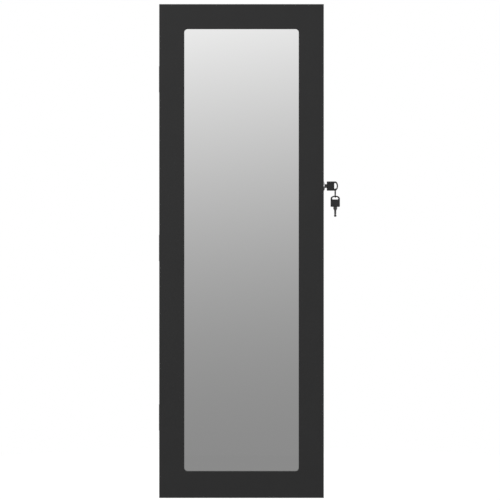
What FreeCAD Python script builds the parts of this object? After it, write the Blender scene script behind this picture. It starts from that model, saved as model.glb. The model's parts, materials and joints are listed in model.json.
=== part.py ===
import FreeCAD, Part

import math
import os

from FreeCAD import Placement, Rotation, Vector

# A wall-hung jewelry cabinet behind a full-height mirror door.
# Millimetres. +X is the viewer's right, the door faces -Y and +Z is up.
# The origin is the centre of the back, on the wall.

# ---- cabinet -------------------------------------------------------------------------------
WIDTH = 300.0
HEIGHT = 900.0
DEPTH = 85.0
BOARD = 12.0                # case boards and the door's edge strips
DOOR_DEPTH = 24.0
DOOR_GAP = 2.0              # between door and case, where the hinge leaves lie
EASED_EDGE = 1.0            # rounding of the door's front edges

# ---- fits ----------------------------------------------------------------------------------
SEAT = 0.05                 # round a fastener, dowel or rod in its hole
RUNNING = 0.05              # radial, round a turning pin or plug
KEY_FIT = 0.15              # round the key's blade in its keyway
KEY_END_FIT = 0.5           # beyond the key's tip and collar
PANEL_PLAY = 0.2            # round a panel in its rebate or tray

# ---- back and wall fixing ------------------------------------------------------------------
BACK_PANEL = 3.0
BACK_REBATE = 6.0
LINING = 1.0
HANGING_RAIL = 12.0
HANGING_RAIL_HEIGHT = 40.0
DOWEL_RADIUS = 3.0
DOWEL_LENGTH = 24.0
DOWEL_IN_SIDE = 8.0
DOWEL_DEPTHS = (15.0, 45.0)     # in front of the wall
KEYHOLE_FROM_SIDE = 50.0
KEYHOLE_DROP = 38.0             # entry hole below the cabinet's top
KEYHOLE_ENTRY_RADIUS = 5.0
KEYHOLE_SLOT_RADIUS = 2.5
KEYHOLE_RISE = 10.0
KEYHOLE_PLATE = 1.5
KEYHOLE_PLATE_WIDTH = 38.0
KEYHOLE_PLATE_HEIGHT = 30.0
KEYHOLE_PLATE_CORNER = 4.0
KEYHOLE_SCREW_SPACING = 26.0
KEYHOLE_SCREW_LENGTH = 10.0
HEAD_POCKET_RADIUS = 6.5
HEAD_POCKET_DEPTH = 9.0

# ---- door ----------------------------------------------------------------------------------
FRAME = 9.0                 # front board
FRAME_LIP = 3.0             # board left in front of the mirror
MIRROR = 3.0
MIRROR_LAP = 7.0            # mirror hidden behind the lip, all round
MIRROR_CORNER = 2.0
WINDOW_SIDE_BORDER = 45.6
WINDOW_TOP_BORDER = 44.9
WINDOW_BOTTOM_BORDER = 48.6
WINDOW_CORNER = 6.0
BUMPER_RADIUS = 4.0
BUMPER_THICKNESS = 1.6
BUMPER_FROM_END = 30.0

# ---- screws --------------------------------------------------------------------------------
SCREW_HEAD_RADIUS = 2.3
SCREW_HEAD_DEPTH = 0.8
SCREW_SHANK_RADIUS = 1.4

# ---- hinges --------------------------------------------------------------------------------
HINGE_NAMES = ("bottom", "middle", "top")
HINGE_HEIGHTS = (143.5, 455.5, 766.5)   # centres above the cabinet's lower edge
HINGE_LENGTH = 48.0
HINGE_LEAF = 0.8
HINGE_LEAF_INSET = 1.0      # leaf's end to the board's inner face
HINGE_PROUD = 0.25          # pin axis outside the cabinet's side
KNUCKLE_RADIUS = 2.0
KNUCKLE_RELIEF = 0.3        # boards and leaves round the knuckle
KNUCKLE_GAP = 0.4           # between two knuckles
DOOR_KNUCKLE = 19.2
PIN_RADIUS = 1.0
PIN_HEAD_RADIUS = 1.5
PIN_HEAD = 0.8
HINGE_SCREW_PITCH = 16.0
HINGE_SCREW_LENGTH = 11.0

# ---- lock ----------------------------------------------------------------------------------
LOCK_ABOVE_SHELF = 60.5     # axis above the upper shelf
LOCK_SETBACK = 14.0         # behind the case's front edge
FLANGE_RADIUS = 9.0
FLANGE_PROUD = 4.0
FLANGE_RIM = 1.3
FLANGE_FACE_RADIUS = 6.6
FLANGE_SHOULDER = 8.3       # radius and height where its edge turns down to the rim
FLANGE_SHOULDER_PROUD = 3.1
BARREL_RADIUS = 8.0
BARREL_INSIDE = 7.5         # beyond the board
NUT_ACROSS_FLATS = 19.0
NUT_THICKNESS = 3.5
PLUG_RADIUS = 5.5
PLUG_SINK = 0.3             # plug's face behind the flange's
TANG = 6.0
CAM = 2.0
CAM_WIDTH = 12.0
CAM_REACH = 16.0
CAM_CORNER = 2.0
CAM_PLAY = 0.3              # between the cam and the barrel's end
CAM_SCREW_HEAD_RADIUS = 3.5
CAM_SCREW_HEAD = 2.0
CAM_SCREW_RADIUS = 1.25
CAM_SCREW_LENGTH = 8.0

# ---- keeper on the door --------------------------------------------------------------------
KEEPER = 1.5                # sheet
KEEPER_WIDTH = 15.0
KEEPER_BEYOND_CAM = 1.0
KEEPER_HOOK_GAP = 0.6       # lip to the locked cam
KEEPER_ABOVE_CAM = 3.0
KEEPER_LIP_HEIGHT = 9.5     # lip's lower edge above the lock's axis
KEEPER_BASE_HEIGHT = 26.0
KEEPER_BEND = 1.2
KEEPER_EDGE = 1.0           # base to the door's outer side
KEEPER_SCREW_HEIGHTS = (7.0, 19.0)
KEEPER_SCREW_LENGTH = 10.0

# ---- keys ----------------------------------------------------------------------------------
KEY_HEAD_LENGTH = 20.8
KEY_HEAD_WIDTH = 17.2
KEY_HEAD = 3.0
KEY_HEAD_CORNER = 1.2
KEY_HEAD_EDGE = 0.7
KEY_LOOP_RISE = 5.2         # height of the head's rounded end
KEY_LOOP_BAND = 2.4
KEY_HOLE_RISE = 3.0
KEY_HOLE_LENGTH = 4.6
KEY_HOLE_WIDTH = 11.4
KEY_HOLE_CORNER = 1.5
KEY_PANEL_WIDTH = 10.6
KEY_PANEL_LENGTH = 10.0
KEY_PANEL_SINK = 0.35
KEY_PANEL_CORNER = 1.5
KEY_METAL = 2.0
KEY_TANG = 8.0              # metal inside the head
COLLAR_WIDTH = 7.0
COLLAR_LENGTH = 3.6
COLLAR_TAPER = 2.4
COLLAR_SHOWN = 4.0          # head to flange with the key home
BLADE_WIDTH = 4.4
BLADE_LENGTH = 12.4
BLADE_TIP = 1.2
BITTING = (0.45, 0.75, 0.6, 0.8)    # depth of each pair of cuts, from the collar
BITTING_FIRST = 1.4         # collar to the middle of the first pair
BITTING_PITCH = 2.3
BITTING_FLAT = 0.6          # bottom of a cut
BITTING_SLOPE = 0.6         # length of each of its sides
RING_RADIUS = 8.4           # centreline
RING_AXIAL = 0.8            # half the section along the ring's axis
RING_RADIAL = 0.6           # half the section across it
RING_CHAMFER = 0.3
RING_SEAT = 5.2             # ring's plane from the end of the locked key's loop
RING_HANG = 2.6             # ring's wire above the loop arm's centre
SPARE_SEAT = 0.55           # play between the ring and the spare key's loop

# ---- inside the case -----------------------------------------------------------------------
SHELF = 6.0
SHELF_SETBACK = 3.0
SHELF_NAMES = ("upper", "middle", "lower")
SHELF_HEIGHTS = (510.0, 400.0, 210.0)   # upper faces above the cabinet's lower edge
SHELF_PIN_RADIUS = 1.5
SHELF_PIN_LENGTH = 12.0
SHELF_PIN_IN_SIDE = 4.0
SHELF_PIN_DEPTHS = (14.0, 46.0)         # in front of the wall
GUARD_RADIUS = 2.0
GUARD_SETBACK = 5.0
GUARD_IN_SIDE = 4.0
GUARD_HEIGHTS = (20.0, 30.0, 30.0)      # above the floor of each bay
HOOK_RAIL = 6.0
HOOK_RAIL_MARGIN = 13.0     # rail's end to the side board
HOOK_RAIL_HEIGHT = 24.0
HOOK_RAIL_SCREW_INSET = 6.0
HOOK_RAIL_SCREW_LENGTH = 14.0
HOOK_COUNT = 9
HOOK_PITCH = 26.0
HOOK_DROP = 6.0             # hooks below the rail's middle
HOOK_RADIUS = 1.2
HOOK_REACH = 15.0
HOOK_BEND = 3.0
HOOK_TIP = 3.0
HOOK_BALL_RADIUS = 1.9
HOOK_IN_RAIL = 5.0
TRAY_WALL = 3.0
TRAY_SETBACK = 9.0
TRAY_PLAY = 0.4
CUSHION_ROLLS = 7
CUSHION_SLOT = 1.0
CUSHION_SLOT_DEPTH = 15.0
CUSHION_CROWN = 4.0         # each roll's rounded front
CUSHION_BOW = 3.0           # fullness along the rolls
CUSHION_SIDE_DRAW = 2.0     # how far the sides pull in
CUSHION_SETBACK = 4.0
BRACELET_BAR_RADIUS = 5.0
BRACELET_BAR_OFF_WALL = 32.0
BRACELET_BAR_DROP = 26.0    # below the middle shelf
SOCKET_RADIUS = 9.0
SOCKET_THICKNESS = 6.0
SOCKET_SPIGOT_RADIUS = 3.0
SOCKET_SPIGOT = 4.0
SOCKET_BORE = 4.5

# ---- inside the door -----------------------------------------------------------------------
EARRING_BAR_NAMES = ("bottom", "middle", "top")
EARRING_BAR_HEIGHTS = (260.0, 480.0, 700.0)     # middles above the cabinet's lower edge
EARRING_BAR = 1.5
EARRING_BAR_HEIGHT = 26.0
EARRING_BAR_OFF_LINING = 9.0
EARRING_SLOTS = 22
EARRING_SLOT_PITCH = 11.5
EARRING_SLOT_WIDTH = 2.0
EARRING_SLOT_DEPTH = 10.0
EARRING_TAB_PLAY = 0.5
EARRING_SCREW_LENGTH = 8.0

# ---- places worked out from the sizes above ------------------------------------------------
SIDE = WIDTH / 2
END = HEIGHT / 2
INNER_SIDE = SIDE - BOARD
INNER_END = END - BOARD
DOOR_FRONT = -DEPTH
DOOR_BACK = -(DEPTH - DOOR_DEPTH)
CASE_FRONT = DOOR_BACK + DOOR_GAP
FRAME_BACK = DOOR_FRONT + FRAME
DOOR_LINING_FACE = FRAME_BACK + LINING
BACK_FACE = -BACK_PANEL
LINING_FACE = BACK_FACE - LINING
RAIL_FACE = BACK_FACE - HANGING_RAIL
HOOK_RAIL_END = INNER_SIDE - HOOK_RAIL_MARGIN
RAIL_BOTTOM = INNER_END - HANGING_RAIL_HEIGHT
RAIL_MIDDLE = INNER_END - HANGING_RAIL_HEIGHT / 2
KEYHOLE_X = SIDE - KEYHOLE_FROM_SIDE
KEYHOLE_Z = END - KEYHOLE_DROP
HINGE_X = -(SIDE + HINGE_PROUD)
HINGE_Y = (DOOR_BACK + CASE_FRONT) / 2
HINGE_LEAF_END = -(INNER_SIDE + HINGE_LEAF_INSET)
SCREW_LINE = SIDE - BOARD / 2
SHELF_TOPS = [height - END for height in SHELF_HEIGHTS]
LOCK_Y = CASE_FRONT + LOCK_SETBACK
LOCK_Z = SHELF_TOPS[0] + LOCK_ABOVE_SHELF
FLANGE_FACE = SIDE + FLANGE_PROUD
BARREL_END = INNER_SIDE - BARREL_INSIDE
CAM_OUTER = BARREL_END - CAM_PLAY
CAM_INNER = CAM_OUTER - CAM
KEY_LENGTH = KEY_HEAD_LENGTH + COLLAR_LENGTH + COLLAR_TAPER + BLADE_LENGTH
KEY_END = FLANGE_FACE + COLLAR_SHOWN + KEY_HEAD_LENGTH      # loop's outer end, key home
KEY_TIP = KEY_END - KEY_LENGTH
RING_X = KEY_END - RING_SEAT
LOOP_ARM_Z = LOCK_Z - (KEY_HEAD_WIDTH + KEY_HOLE_WIDTH) / 4
RING_Z = LOOP_ARM_Z + RING_HANG - RING_RADIUS
SPARE_PIVOT_Z = RING_Z - RING_RADIUS
SPARE_TOP = SPARE_PIVOT_Z + RING_RADIAL + SPARE_SEAT + KEY_LOOP_BAND
X_AXIS = Vector(1, 0, 0)
Y_AXIS = Vector(0, 1, 0)
Z_AXIS = Vector(0, 0, 1)
MITRED = 1                  # how a swept wire turns its corners
BEAD_CORNER = math.pi / 8   # first corner of the hook bead's octagonal section


# ---- small tools ---------------------------------------------------------------------------
def block(x0, x1, y0, y1, z0, z1):
    """A box between two corners, given in any order."""
    low = Vector(min(x0, x1), min(y0, y1), min(z0, z1))
    return Part.makeBox(abs(x1 - x0), abs(y1 - y0), abs(z1 - z0), low)


def rod(start, direction, radius, length):
    return Part.makeCylinder(radius, length, start, direction)


def path(place, *steps):
    """A wire: a point is reached by a straight run, and a pair (middle, end) by an arc."""
    edges = []
    here = place(*steps[0])
    for step in steps[1:]:
        if isinstance(step[0], tuple):
            middle, end = (place(*point) for point in step)
            edges.append(Part.Arc(here, middle, end).toShape())
        else:
            end = place(*step)
            edges.append(Part.makeLine(here, end))
        here = end
    return Part.Wire(edges)


def upright(x, z):
    return Vector(x, 0, z)


def sideways(y, z):
    return Vector(0, y, z)


def level(x, y):
    return Vector(x, y, 0)


def turned(profile, point, direction):
    """A solid of revolution: profile gives (distance along the axis, radius) from a point."""
    section = Part.Face(path(lambda along, radius: Vector(radius, 0, along), *profile, profile[0]))
    solid = section.revolve(Vector(0, 0, 0), Z_AXIS, 360)
    solid.Placement = Placement(point, Rotation(Z_AXIS, direction))
    return solid


def rounded(shape, radius, direction):
    """Round every edge that runs straight along one direction."""
    edges = []
    for edge in shape.Edges:
        ends = edge.Vertexes
        run = ends[-1].Point - ends[0].Point
        if run.Length and run.cross(direction).Length < 1e-6:
            edges.append(edge)
    return shape.makeFillet(radius, edges)


def edge_near(shape, point):
    spot = Part.Vertex(point)
    return min(shape.Edges, key=lambda edge: edge.distToShape(spot)[0])


def screw(point, direction, length, grow=0.0):
    """A countersunk screw, its head's face at the point; grown, it is the screw's hole."""
    shank = SCREW_SHANK_RADIUS + grow
    profile = (
        (-grow, 0),
        (-grow, SCREW_HEAD_RADIUS + grow),
        (SCREW_HEAD_DEPTH, shank),
        (length + grow, shank),
        (length + grow, 0),
    )
    return turned(profile, point, direction)


def screws(places, length, grow=0.0):
    return [screw(point, direction, length, grow) for point, direction in places]


def pins(places, radius, length, grow=0.0):
    """Plain round pins or rods; grown, they are their holes."""
    made = []
    for point, direction in places:
        made.append(rod(point - direction * grow, direction, radius + grow, length + 2 * grow))
    return made


# ---- places of the fasteners ---------------------------------------------------------------
def case_dowel_places():
    places = []
    for side in (-1, 1):
        for end in (-1, 1):
            for depth in DOWEL_DEPTHS:
                start = Vector(side * (INNER_SIDE + DOWEL_IN_SIDE), -depth, end * (END - BOARD / 2))
                places.append((start, Vector(-side, 0, 0)))
    return places


def shelf_pin_places(top):
    places = []
    for side in (-1, 1):
        for depth in SHELF_PIN_DEPTHS:
            start = Vector(side * (INNER_SIDE + SHELF_PIN_IN_SIDE), -depth, top - SHELF / 2)
            places.append((start, Vector(-side, 0, 0)))
    return places


def all_shelf_pin_places():
    return [place for top in SHELF_TOPS for place in shelf_pin_places(top)]


def guard_rail_places():
    """Each rod starts inside the left board: above the upper and lower shelf and the floor."""
    floors = (SHELF_TOPS[0], SHELF_TOPS[2], -INNER_END)
    start = -(INNER_SIDE + GUARD_IN_SIDE)
    y = CASE_FRONT + GUARD_SETBACK
    return [(Vector(start, y, floor + up), X_AXIS) for floor, up in zip(floors, GUARD_HEIGHTS)]


def bracelet_bar_z():
    return SHELF_TOPS[1] - SHELF - BRACELET_BAR_DROP


def keyhole_screw_places(side):
    offset = KEYHOLE_SCREW_SPACING / 2
    middle = side * KEYHOLE_X
    z = KEYHOLE_Z + KEYHOLE_RISE / 2
    return [(Vector(middle + step, 0, z), -Y_AXIS) for step in (-offset, offset)]


def hook_rail_screw_places():
    reach = HOOK_RAIL_END - HOOK_RAIL_SCREW_INSET
    return [(Vector(x, RAIL_FACE - HOOK_RAIL, RAIL_MIDDLE), Y_AXIS) for x in (-reach, reach)]


def hinge_z(name):
    return HINGE_HEIGHTS[HINGE_NAMES.index(name)] - END


def hinge_screw_places(name, owner):
    """Three screws in line, from the leaf's face into its board."""
    into = Y_AXIS if owner == "case" else -Y_AXIS
    y = CASE_FRONT - HINGE_LEAF if owner == "case" else DOOR_BACK + HINGE_LEAF
    z = hinge_z(name)
    return [(Vector(-SCREW_LINE, y, z + step * HINGE_SCREW_PITCH), into) for step in (-1, 0, 1)]


def all_hinge_screw_places(owner):
    return [place for name in HINGE_NAMES for place in hinge_screw_places(name, owner)]


def keeper_base_z():
    return LOCK_Z + CAM_REACH + KEEPER_ABOVE_CAM


def keeper_screw_places():
    y = DOOR_BACK + KEEPER
    return [(Vector(SCREW_LINE, y, keeper_base_z() + up), -Y_AXIS) for up in KEEPER_SCREW_HEIGHTS]


def earring_bar_z(name):
    return EARRING_BAR_HEIGHTS[EARRING_BAR_NAMES.index(name)] - END


def earring_screw_places(name):
    y = DOOR_LINING_FACE + EARRING_TAB_PLAY + EARRING_BAR_OFF_LINING / 2
    head = INNER_SIDE - EARRING_BAR
    return [(Vector(side * head, y, earring_bar_z(name)), X_AXIS * side) for side in (-1, 1)]


def all_earring_screw_places():
    return [place for name in EARRING_BAR_NAMES for place in earring_screw_places(name)]


# ---- case ----------------------------------------------------------------------------------
def back_rebate():
    """The space of the back panel, let into the rear of all four boards."""
    half_width = INNER_SIDE + BACK_REBATE
    half_height = INNER_END + BACK_REBATE
    return block(-half_width, half_width, BACK_FACE, 0, -half_height, half_height)


def knuckle_coves():
    """Round reliefs in the boards' edges for the hinge knuckles."""
    half = HINGE_LENGTH / 2 + PIN_HEAD + KNUCKLE_RELIEF
    starts = [Vector(HINGE_X, HINGE_Y, hinge_z(name) - half) for name in HINGE_NAMES]
    return [rod(start, Z_AXIS, KNUCKLE_RADIUS + KNUCKLE_RELIEF, 2 * half) for start in starts]


def case_side(side):
    board = block(side * INNER_SIDE, side * SIDE, CASE_FRONT, 0, -END, END)
    holes = [back_rebate()]
    holes += pins(case_dowel_places(), DOWEL_RADIUS, DOWEL_LENGTH, SEAT)
    holes += pins(all_shelf_pin_places(), SHELF_PIN_RADIUS, SHELF_PIN_LENGTH, SEAT)
    holes += pins(guard_rail_places(), GUARD_RADIUS, 2 * (INNER_SIDE + GUARD_IN_SIDE), SEAT)
    spigot = Vector(side * INNER_SIDE, -BRACELET_BAR_OFF_WALL, bracelet_bar_z())
    holes.append(rod(spigot, X_AXIS * side, SOCKET_SPIGOT_RADIUS + SEAT, SOCKET_SPIGOT + SEAT))
    if side < 0:
        holes += knuckle_coves()
        holes += screws(all_hinge_screw_places("case"), HINGE_SCREW_LENGTH, SEAT)
    else:
        holes.append(rod(Vector(INNER_SIDE, LOCK_Y, LOCK_Z), X_AXIS, BARREL_RADIUS + SEAT, BOARD))
    return board.cut(holes)


def case_end(end):
    board = block(-INNER_SIDE, INNER_SIDE, CASE_FRONT, 0, end * INNER_END, end * END)
    return board.cut([back_rebate()] + pins(case_dowel_places(), DOWEL_RADIUS, DOWEL_LENGTH, SEAT))


def keyhole_outline(entry_radius, slot_radius, x, depth):
    """A round entry and the slot that rises from it, cut forward from the wall."""
    entry = rod(Vector(x, 0, KEYHOLE_Z), -Y_AXIS, entry_radius, depth)
    slot_top = rod(Vector(x, 0, KEYHOLE_Z + KEYHOLE_RISE), -Y_AXIS, slot_radius, depth)
    slot = block(x - slot_radius, x + slot_radius, -depth, 0, KEYHOLE_Z, KEYHOLE_Z + KEYHOLE_RISE)
    return entry.multiFuse([slot_top, slot]).removeSplitter()


def keyhole_plate_blank(side, play=0.0):
    x = side * KEYHOLE_X
    half_width = KEYHOLE_PLATE_WIDTH / 2 + play
    half_height = KEYHOLE_PLATE_HEIGHT / 2 + play
    middle = KEYHOLE_Z + KEYHOLE_RISE / 2
    plate = block(
        x - half_width, x + half_width, -KEYHOLE_PLATE - play, 0, middle - half_height, middle + half_height
    )
    return rounded(plate, KEYHOLE_PLATE_CORNER, Y_AXIS)


def keyhole_plate(side):
    x = side * KEYHOLE_X
    opening = keyhole_outline(KEYHOLE_ENTRY_RADIUS, KEYHOLE_SLOT_RADIUS, x, KEYHOLE_PLATE)
    holes = screws(keyhole_screw_places(side), KEYHOLE_SCREW_LENGTH, SEAT)
    return keyhole_plate_blank(side).cut([opening] + holes)


def wall_fixing_pockets():
    """What the keyhole plates, their screws and the wall screws' heads need."""
    pockets = []
    for side in (-1, 1):
        x = side * KEYHOLE_X
        pockets.append(keyhole_plate_blank(side, SEAT))
        pockets.append(keyhole_outline(HEAD_POCKET_RADIUS, HEAD_POCKET_RADIUS, x, HEAD_POCKET_DEPTH))
        pockets += screws(keyhole_screw_places(side), KEYHOLE_SCREW_LENGTH, SEAT)
    return pockets


def back_panel():
    half_width = INNER_SIDE + BACK_REBATE - PANEL_PLAY
    half_height = INNER_END + BACK_REBATE - PANEL_PLAY
    panel = block(-half_width, half_width, BACK_FACE, 0, -half_height, half_height)
    return panel.cut(wall_fixing_pockets())


def back_lining():
    return block(-INNER_SIDE, INNER_SIDE, LINING_FACE, BACK_FACE, -INNER_END, RAIL_BOTTOM)


def hanging_rail():
    rail = block(-INNER_SIDE, INNER_SIDE, RAIL_FACE, BACK_FACE, RAIL_BOTTOM, INNER_END)
    holes = wall_fixing_pockets()
    holes += screws(hook_rail_screw_places(), HOOK_RAIL_SCREW_LENGTH, SEAT)
    return rail.cut(holes)


# ---- inside the case -----------------------------------------------------------------------
def hook_places():
    first = -(HOOK_COUNT - 1) * HOOK_PITCH / 2
    return [first + number * HOOK_PITCH for number in range(HOOK_COUNT)]


def hook_rail():
    half_height = HOOK_RAIL_HEIGHT / 2
    front = RAIL_FACE - HOOK_RAIL
    rail = block(
        -HOOK_RAIL_END, HOOK_RAIL_END, front, RAIL_FACE,
        RAIL_MIDDLE - half_height, RAIL_MIDDLE + half_height,
    )
    holes = screws(hook_rail_screw_places(), HOOK_RAIL_SCREW_LENGTH, SEAT)
    shanks = [(Vector(x, front, RAIL_MIDDLE - HOOK_DROP), Y_AXIS) for x in hook_places()]
    return rail.cut(holes + pins(shanks, HOOK_RADIUS, HOOK_IN_RAIL, SEAT))


def necklace_hook(x):
    """A wire hook: a level shank, a mitred bend upwards and a bead on the tip."""
    root = RAIL_FACE - HOOK_RAIL + HOOK_IN_RAIL
    z = RAIL_MIDDLE - HOOK_DROP
    out = RAIL_FACE - HOOK_RAIL - HOOK_REACH
    tip = z + HOOK_BEND + HOOK_TIP
    line = path(
        lambda y, up: Vector(x, y, up),
        (root, z), (out + HOOK_BEND, z), (out, z + HOOK_BEND), (out, tip),
    )
    section = Part.Wire(Part.makeCircle(HOOK_RADIUS, Vector(x, root, z), Y_AXIS))
    wire = line.makePipeShell([section], True, False, MITRED)
    belt = HOOK_BALL_RADIUS * math.sin(BEAD_CORNER)
    cap = HOOK_BALL_RADIUS * math.cos(BEAD_CORNER)
    bead = ((-cap, 0), (-cap, belt), (-belt, cap), (belt, cap), (cap, belt), (cap, 0))
    return wire.fuse(turned(bead, Vector(x, out, tip), Z_AXIS))


def shelf(name):
    top = SHELF_TOPS[SHELF_NAMES.index(name)]
    front = CASE_FRONT + SHELF_SETBACK
    board = block(-INNER_SIDE, INNER_SIDE, front, LINING_FACE, top - SHELF, top)
    return board.cut(pins(shelf_pin_places(top), SHELF_PIN_RADIUS, SHELF_PIN_LENGTH, SEAT))


def tray_bay():
    """Lower and upper limit of the bay between the upper and the middle shelf."""
    return SHELF_TOPS[1], SHELF_TOPS[0] - SHELF - TRAY_PLAY


def ring_tray():
    bottom, top = tray_bay()
    half = INNER_SIDE - TRAY_PLAY
    front = CASE_FRONT + TRAY_SETBACK
    shell = block(-half, half, front, LINING_FACE, bottom, top)
    hollow = block(
        -half + TRAY_WALL, half - TRAY_WALL, front, LINING_FACE - TRAY_WALL,
        bottom + TRAY_WALL, top - TRAY_WALL,
    )
    return shell.cut(hollow)


def ring_cushion():
    """A cushion of level rolls with a slot for rings between each two, fuller in its middle."""
    tray_bottom, tray_top = tray_bay()
    bottom = tray_bottom + TRAY_WALL + PANEL_PLAY
    top = tray_top - TRAY_WALL - PANEL_PLAY
    half = INNER_SIDE - TRAY_PLAY - TRAY_WALL - PANEL_PLAY
    back = LINING_FACE - TRAY_WALL
    front = CASE_FRONT + TRAY_SETBACK + CUSHION_SETBACK
    pitch = (top - bottom) / CUSHION_ROLLS
    shoulder = front + CUSHION_CROWN
    steps = [(back, bottom), (shoulder, bottom)]
    for number in range(CUSHION_ROLLS):
        low = bottom + number * pitch
        high = low + pitch
        last = number == CUSHION_ROLLS - 1
        start = low + (CUSHION_SLOT / 2 if number else 0)
        end = high - (0 if last else CUSHION_SLOT / 2)
        if number:
            steps += [(shoulder + CUSHION_SLOT_DEPTH, start), (shoulder, start)]
        steps.append(((front, (start + end) / 2), (shoulder, end)))
        if not last:
            steps.append((shoulder + CUSHION_SLOT_DEPTH, end))
    steps += [(back, top), (back, bottom)]
    rolls = Part.Face(path(sideways, *steps)).extrude(X_AXIS * 2 * half)
    rolls.translate(X_AXIS * -half)
    drawn = half - CUSHION_SIDE_DRAW
    plan = path(
        level,
        (-half, back),
        ((-drawn, (back + front) / 2), (-half + CUSHION_CROWN / 2, front + CUSHION_BOW)),
        ((0, front - CUSHION_BOW), (half - CUSHION_CROWN / 2, front + CUSHION_BOW)),
        ((drawn, (back + front) / 2), (half, back)),
        (-half, back),
    )
    pillow = Part.Face(plan).extrude(Z_AXIS * (top - bottom))
    pillow.translate(Z_AXIS * bottom)
    return rolls.common(pillow)


def guard_rail(number):
    places = [guard_rail_places()[number]]
    return pins(places, GUARD_RADIUS, 2 * (INNER_SIDE + GUARD_IN_SIDE))[0]


def bracelet_bar():
    reach = INNER_SIDE - SOCKET_THICKNESS + SOCKET_BORE
    start = Vector(-reach, -BRACELET_BAR_OFF_WALL, bracelet_bar_z())
    return rod(start, X_AXIS, BRACELET_BAR_RADIUS, 2 * reach)


def bracelet_bar_socket(side):
    """A cup on the side board, with a spigot let into the board."""
    bore = BRACELET_BAR_RADIUS + SEAT
    depth = SOCKET_THICKNESS - SOCKET_BORE - SEAT
    profile = (
        (-SOCKET_SPIGOT, 0),
        (-SOCKET_SPIGOT, SOCKET_SPIGOT_RADIUS),
        (0, SOCKET_SPIGOT_RADIUS),
        (0, SOCKET_RADIUS),
        (SOCKET_THICKNESS - EASED_EDGE, SOCKET_RADIUS),
        (SOCKET_THICKNESS, SOCKET_RADIUS - EASED_EDGE),
        (SOCKET_THICKNESS, bore),
        (depth, bore),
        (depth, 0),
    )
    point = Vector(side * INNER_SIDE, -BRACELET_BAR_OFF_WALL, bracelet_bar_z())
    return turned(profile, point, Vector(-side, 0, 0))


def bumper_pad(end):
    point = Vector(SCREW_LINE, CASE_FRONT, end * (END - BUMPER_FROM_END))
    edge = BUMPER_RADIUS - BUMPER_THICKNESS / 2
    profile = (
        (0, 0),
        (0, BUMPER_RADIUS),
        (BUMPER_THICKNESS / 2, BUMPER_RADIUS),
        (BUMPER_THICKNESS, edge),
        (BUMPER_THICKNESS, 0),
    )
    return turned(profile, point, -Y_AXIS)


# ---- hinges --------------------------------------------------------------------------------
def knuckle_spans(name, owner):
    """Lower and upper limit of each knuckle: two outer ones on the case, one on the door."""
    z = hinge_z(name)
    half = HINGE_LENGTH / 2
    middle = DOOR_KNUCKLE / 2
    if owner == "door":
        return [(z - middle, z + middle)]
    return [(z - half, z - middle - KNUCKLE_GAP), (z + middle + KNUCKLE_GAP, z + half)]


def hinge_leaf(name, owner):
    other = "door" if owner == "case" else "case"
    board = CASE_FRONT if owner == "case" else DOOR_BACK
    face = board - HINGE_LEAF if owner == "case" else board + HINGE_LEAF
    z = hinge_z(name)
    half = HINGE_LENGTH / 2
    leaf = block(HINGE_X, HINGE_LEAF_END, board, face, z - half, z + half)
    own = []
    for low, high in knuckle_spans(name, owner):
        own.append(rod(Vector(HINGE_X, HINGE_Y, low), Z_AXIS, KNUCKLE_RADIUS, high - low))
    leaf = leaf.multiFuse(own)
    cuts = []
    for low, high in knuckle_spans(name, other):
        start = Vector(HINGE_X, HINGE_Y, low - KNUCKLE_GAP)
        cuts.append(rod(start, Z_AXIS, KNUCKLE_RADIUS + KNUCKLE_RELIEF, high - low + 2 * KNUCKLE_GAP))
    play = RUNNING if owner == "door" else SEAT
    cuts.append(rod(Vector(HINGE_X, HINGE_Y, z - half), Z_AXIS, PIN_RADIUS + play, HINGE_LENGTH))
    cuts += screws(hinge_screw_places(name, owner), HINGE_SCREW_LENGTH, SEAT)
    return leaf.cut(cuts)


def hinge_pin(name):
    """A riveted pin with a low head at each end."""
    shank = HINGE_LENGTH / 2 + SEAT
    profile = (
        (-shank - PIN_HEAD, 0),
        (-shank - PIN_HEAD, PIN_RADIUS),
        (-shank, PIN_HEAD_RADIUS),
        (-shank, PIN_RADIUS),
        (shank, PIN_RADIUS),
        (shank, PIN_HEAD_RADIUS),
        (shank + PIN_HEAD, PIN_RADIUS),
        (shank + PIN_HEAD, 0),
    )
    return turned(profile, Vector(HINGE_X, HINGE_Y, hinge_z(name)), Z_AXIS)


# ---- door ----------------------------------------------------------------------------------
def window_limits(lap=0.0):
    half_width = SIDE - WINDOW_SIDE_BORDER + lap
    return half_width, -END + WINDOW_BOTTOM_BORDER - lap, END - WINDOW_TOP_BORDER + lap


def window_block(front, back, corner, lap=0.0):
    half_width, low, high = window_limits(lap)
    return rounded(block(-half_width, half_width, front, back, low, high), corner, Y_AXIS)


def door_frame():
    """One board with a rounded window, rebated from behind for the mirror and its backing."""
    board = block(-SIDE, SIDE, DOOR_FRONT, FRAME_BACK, -END, END)
    window = window_block(DOOR_FRONT, FRAME_BACK, WINDOW_CORNER)
    rebate = window_block(DOOR_FRONT + FRAME_LIP, FRAME_BACK, MIRROR_CORNER, MIRROR_LAP + PANEL_PLAY)
    frame = board.cut([window, rebate])
    front_edges = [edge for edge in frame.Edges if abs(edge.BoundBox.YMax - DOOR_FRONT) < 1e-6]
    return frame.makeFillet(EASED_EDGE, front_edges)


def mirror():
    front = DOOR_FRONT + FRAME_LIP
    return window_block(front, front + MIRROR, MIRROR_CORNER, MIRROR_LAP)


def mirror_backing():
    return window_block(DOOR_FRONT + FRAME_LIP + MIRROR, FRAME_BACK, MIRROR_CORNER, MIRROR_LAP)


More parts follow.
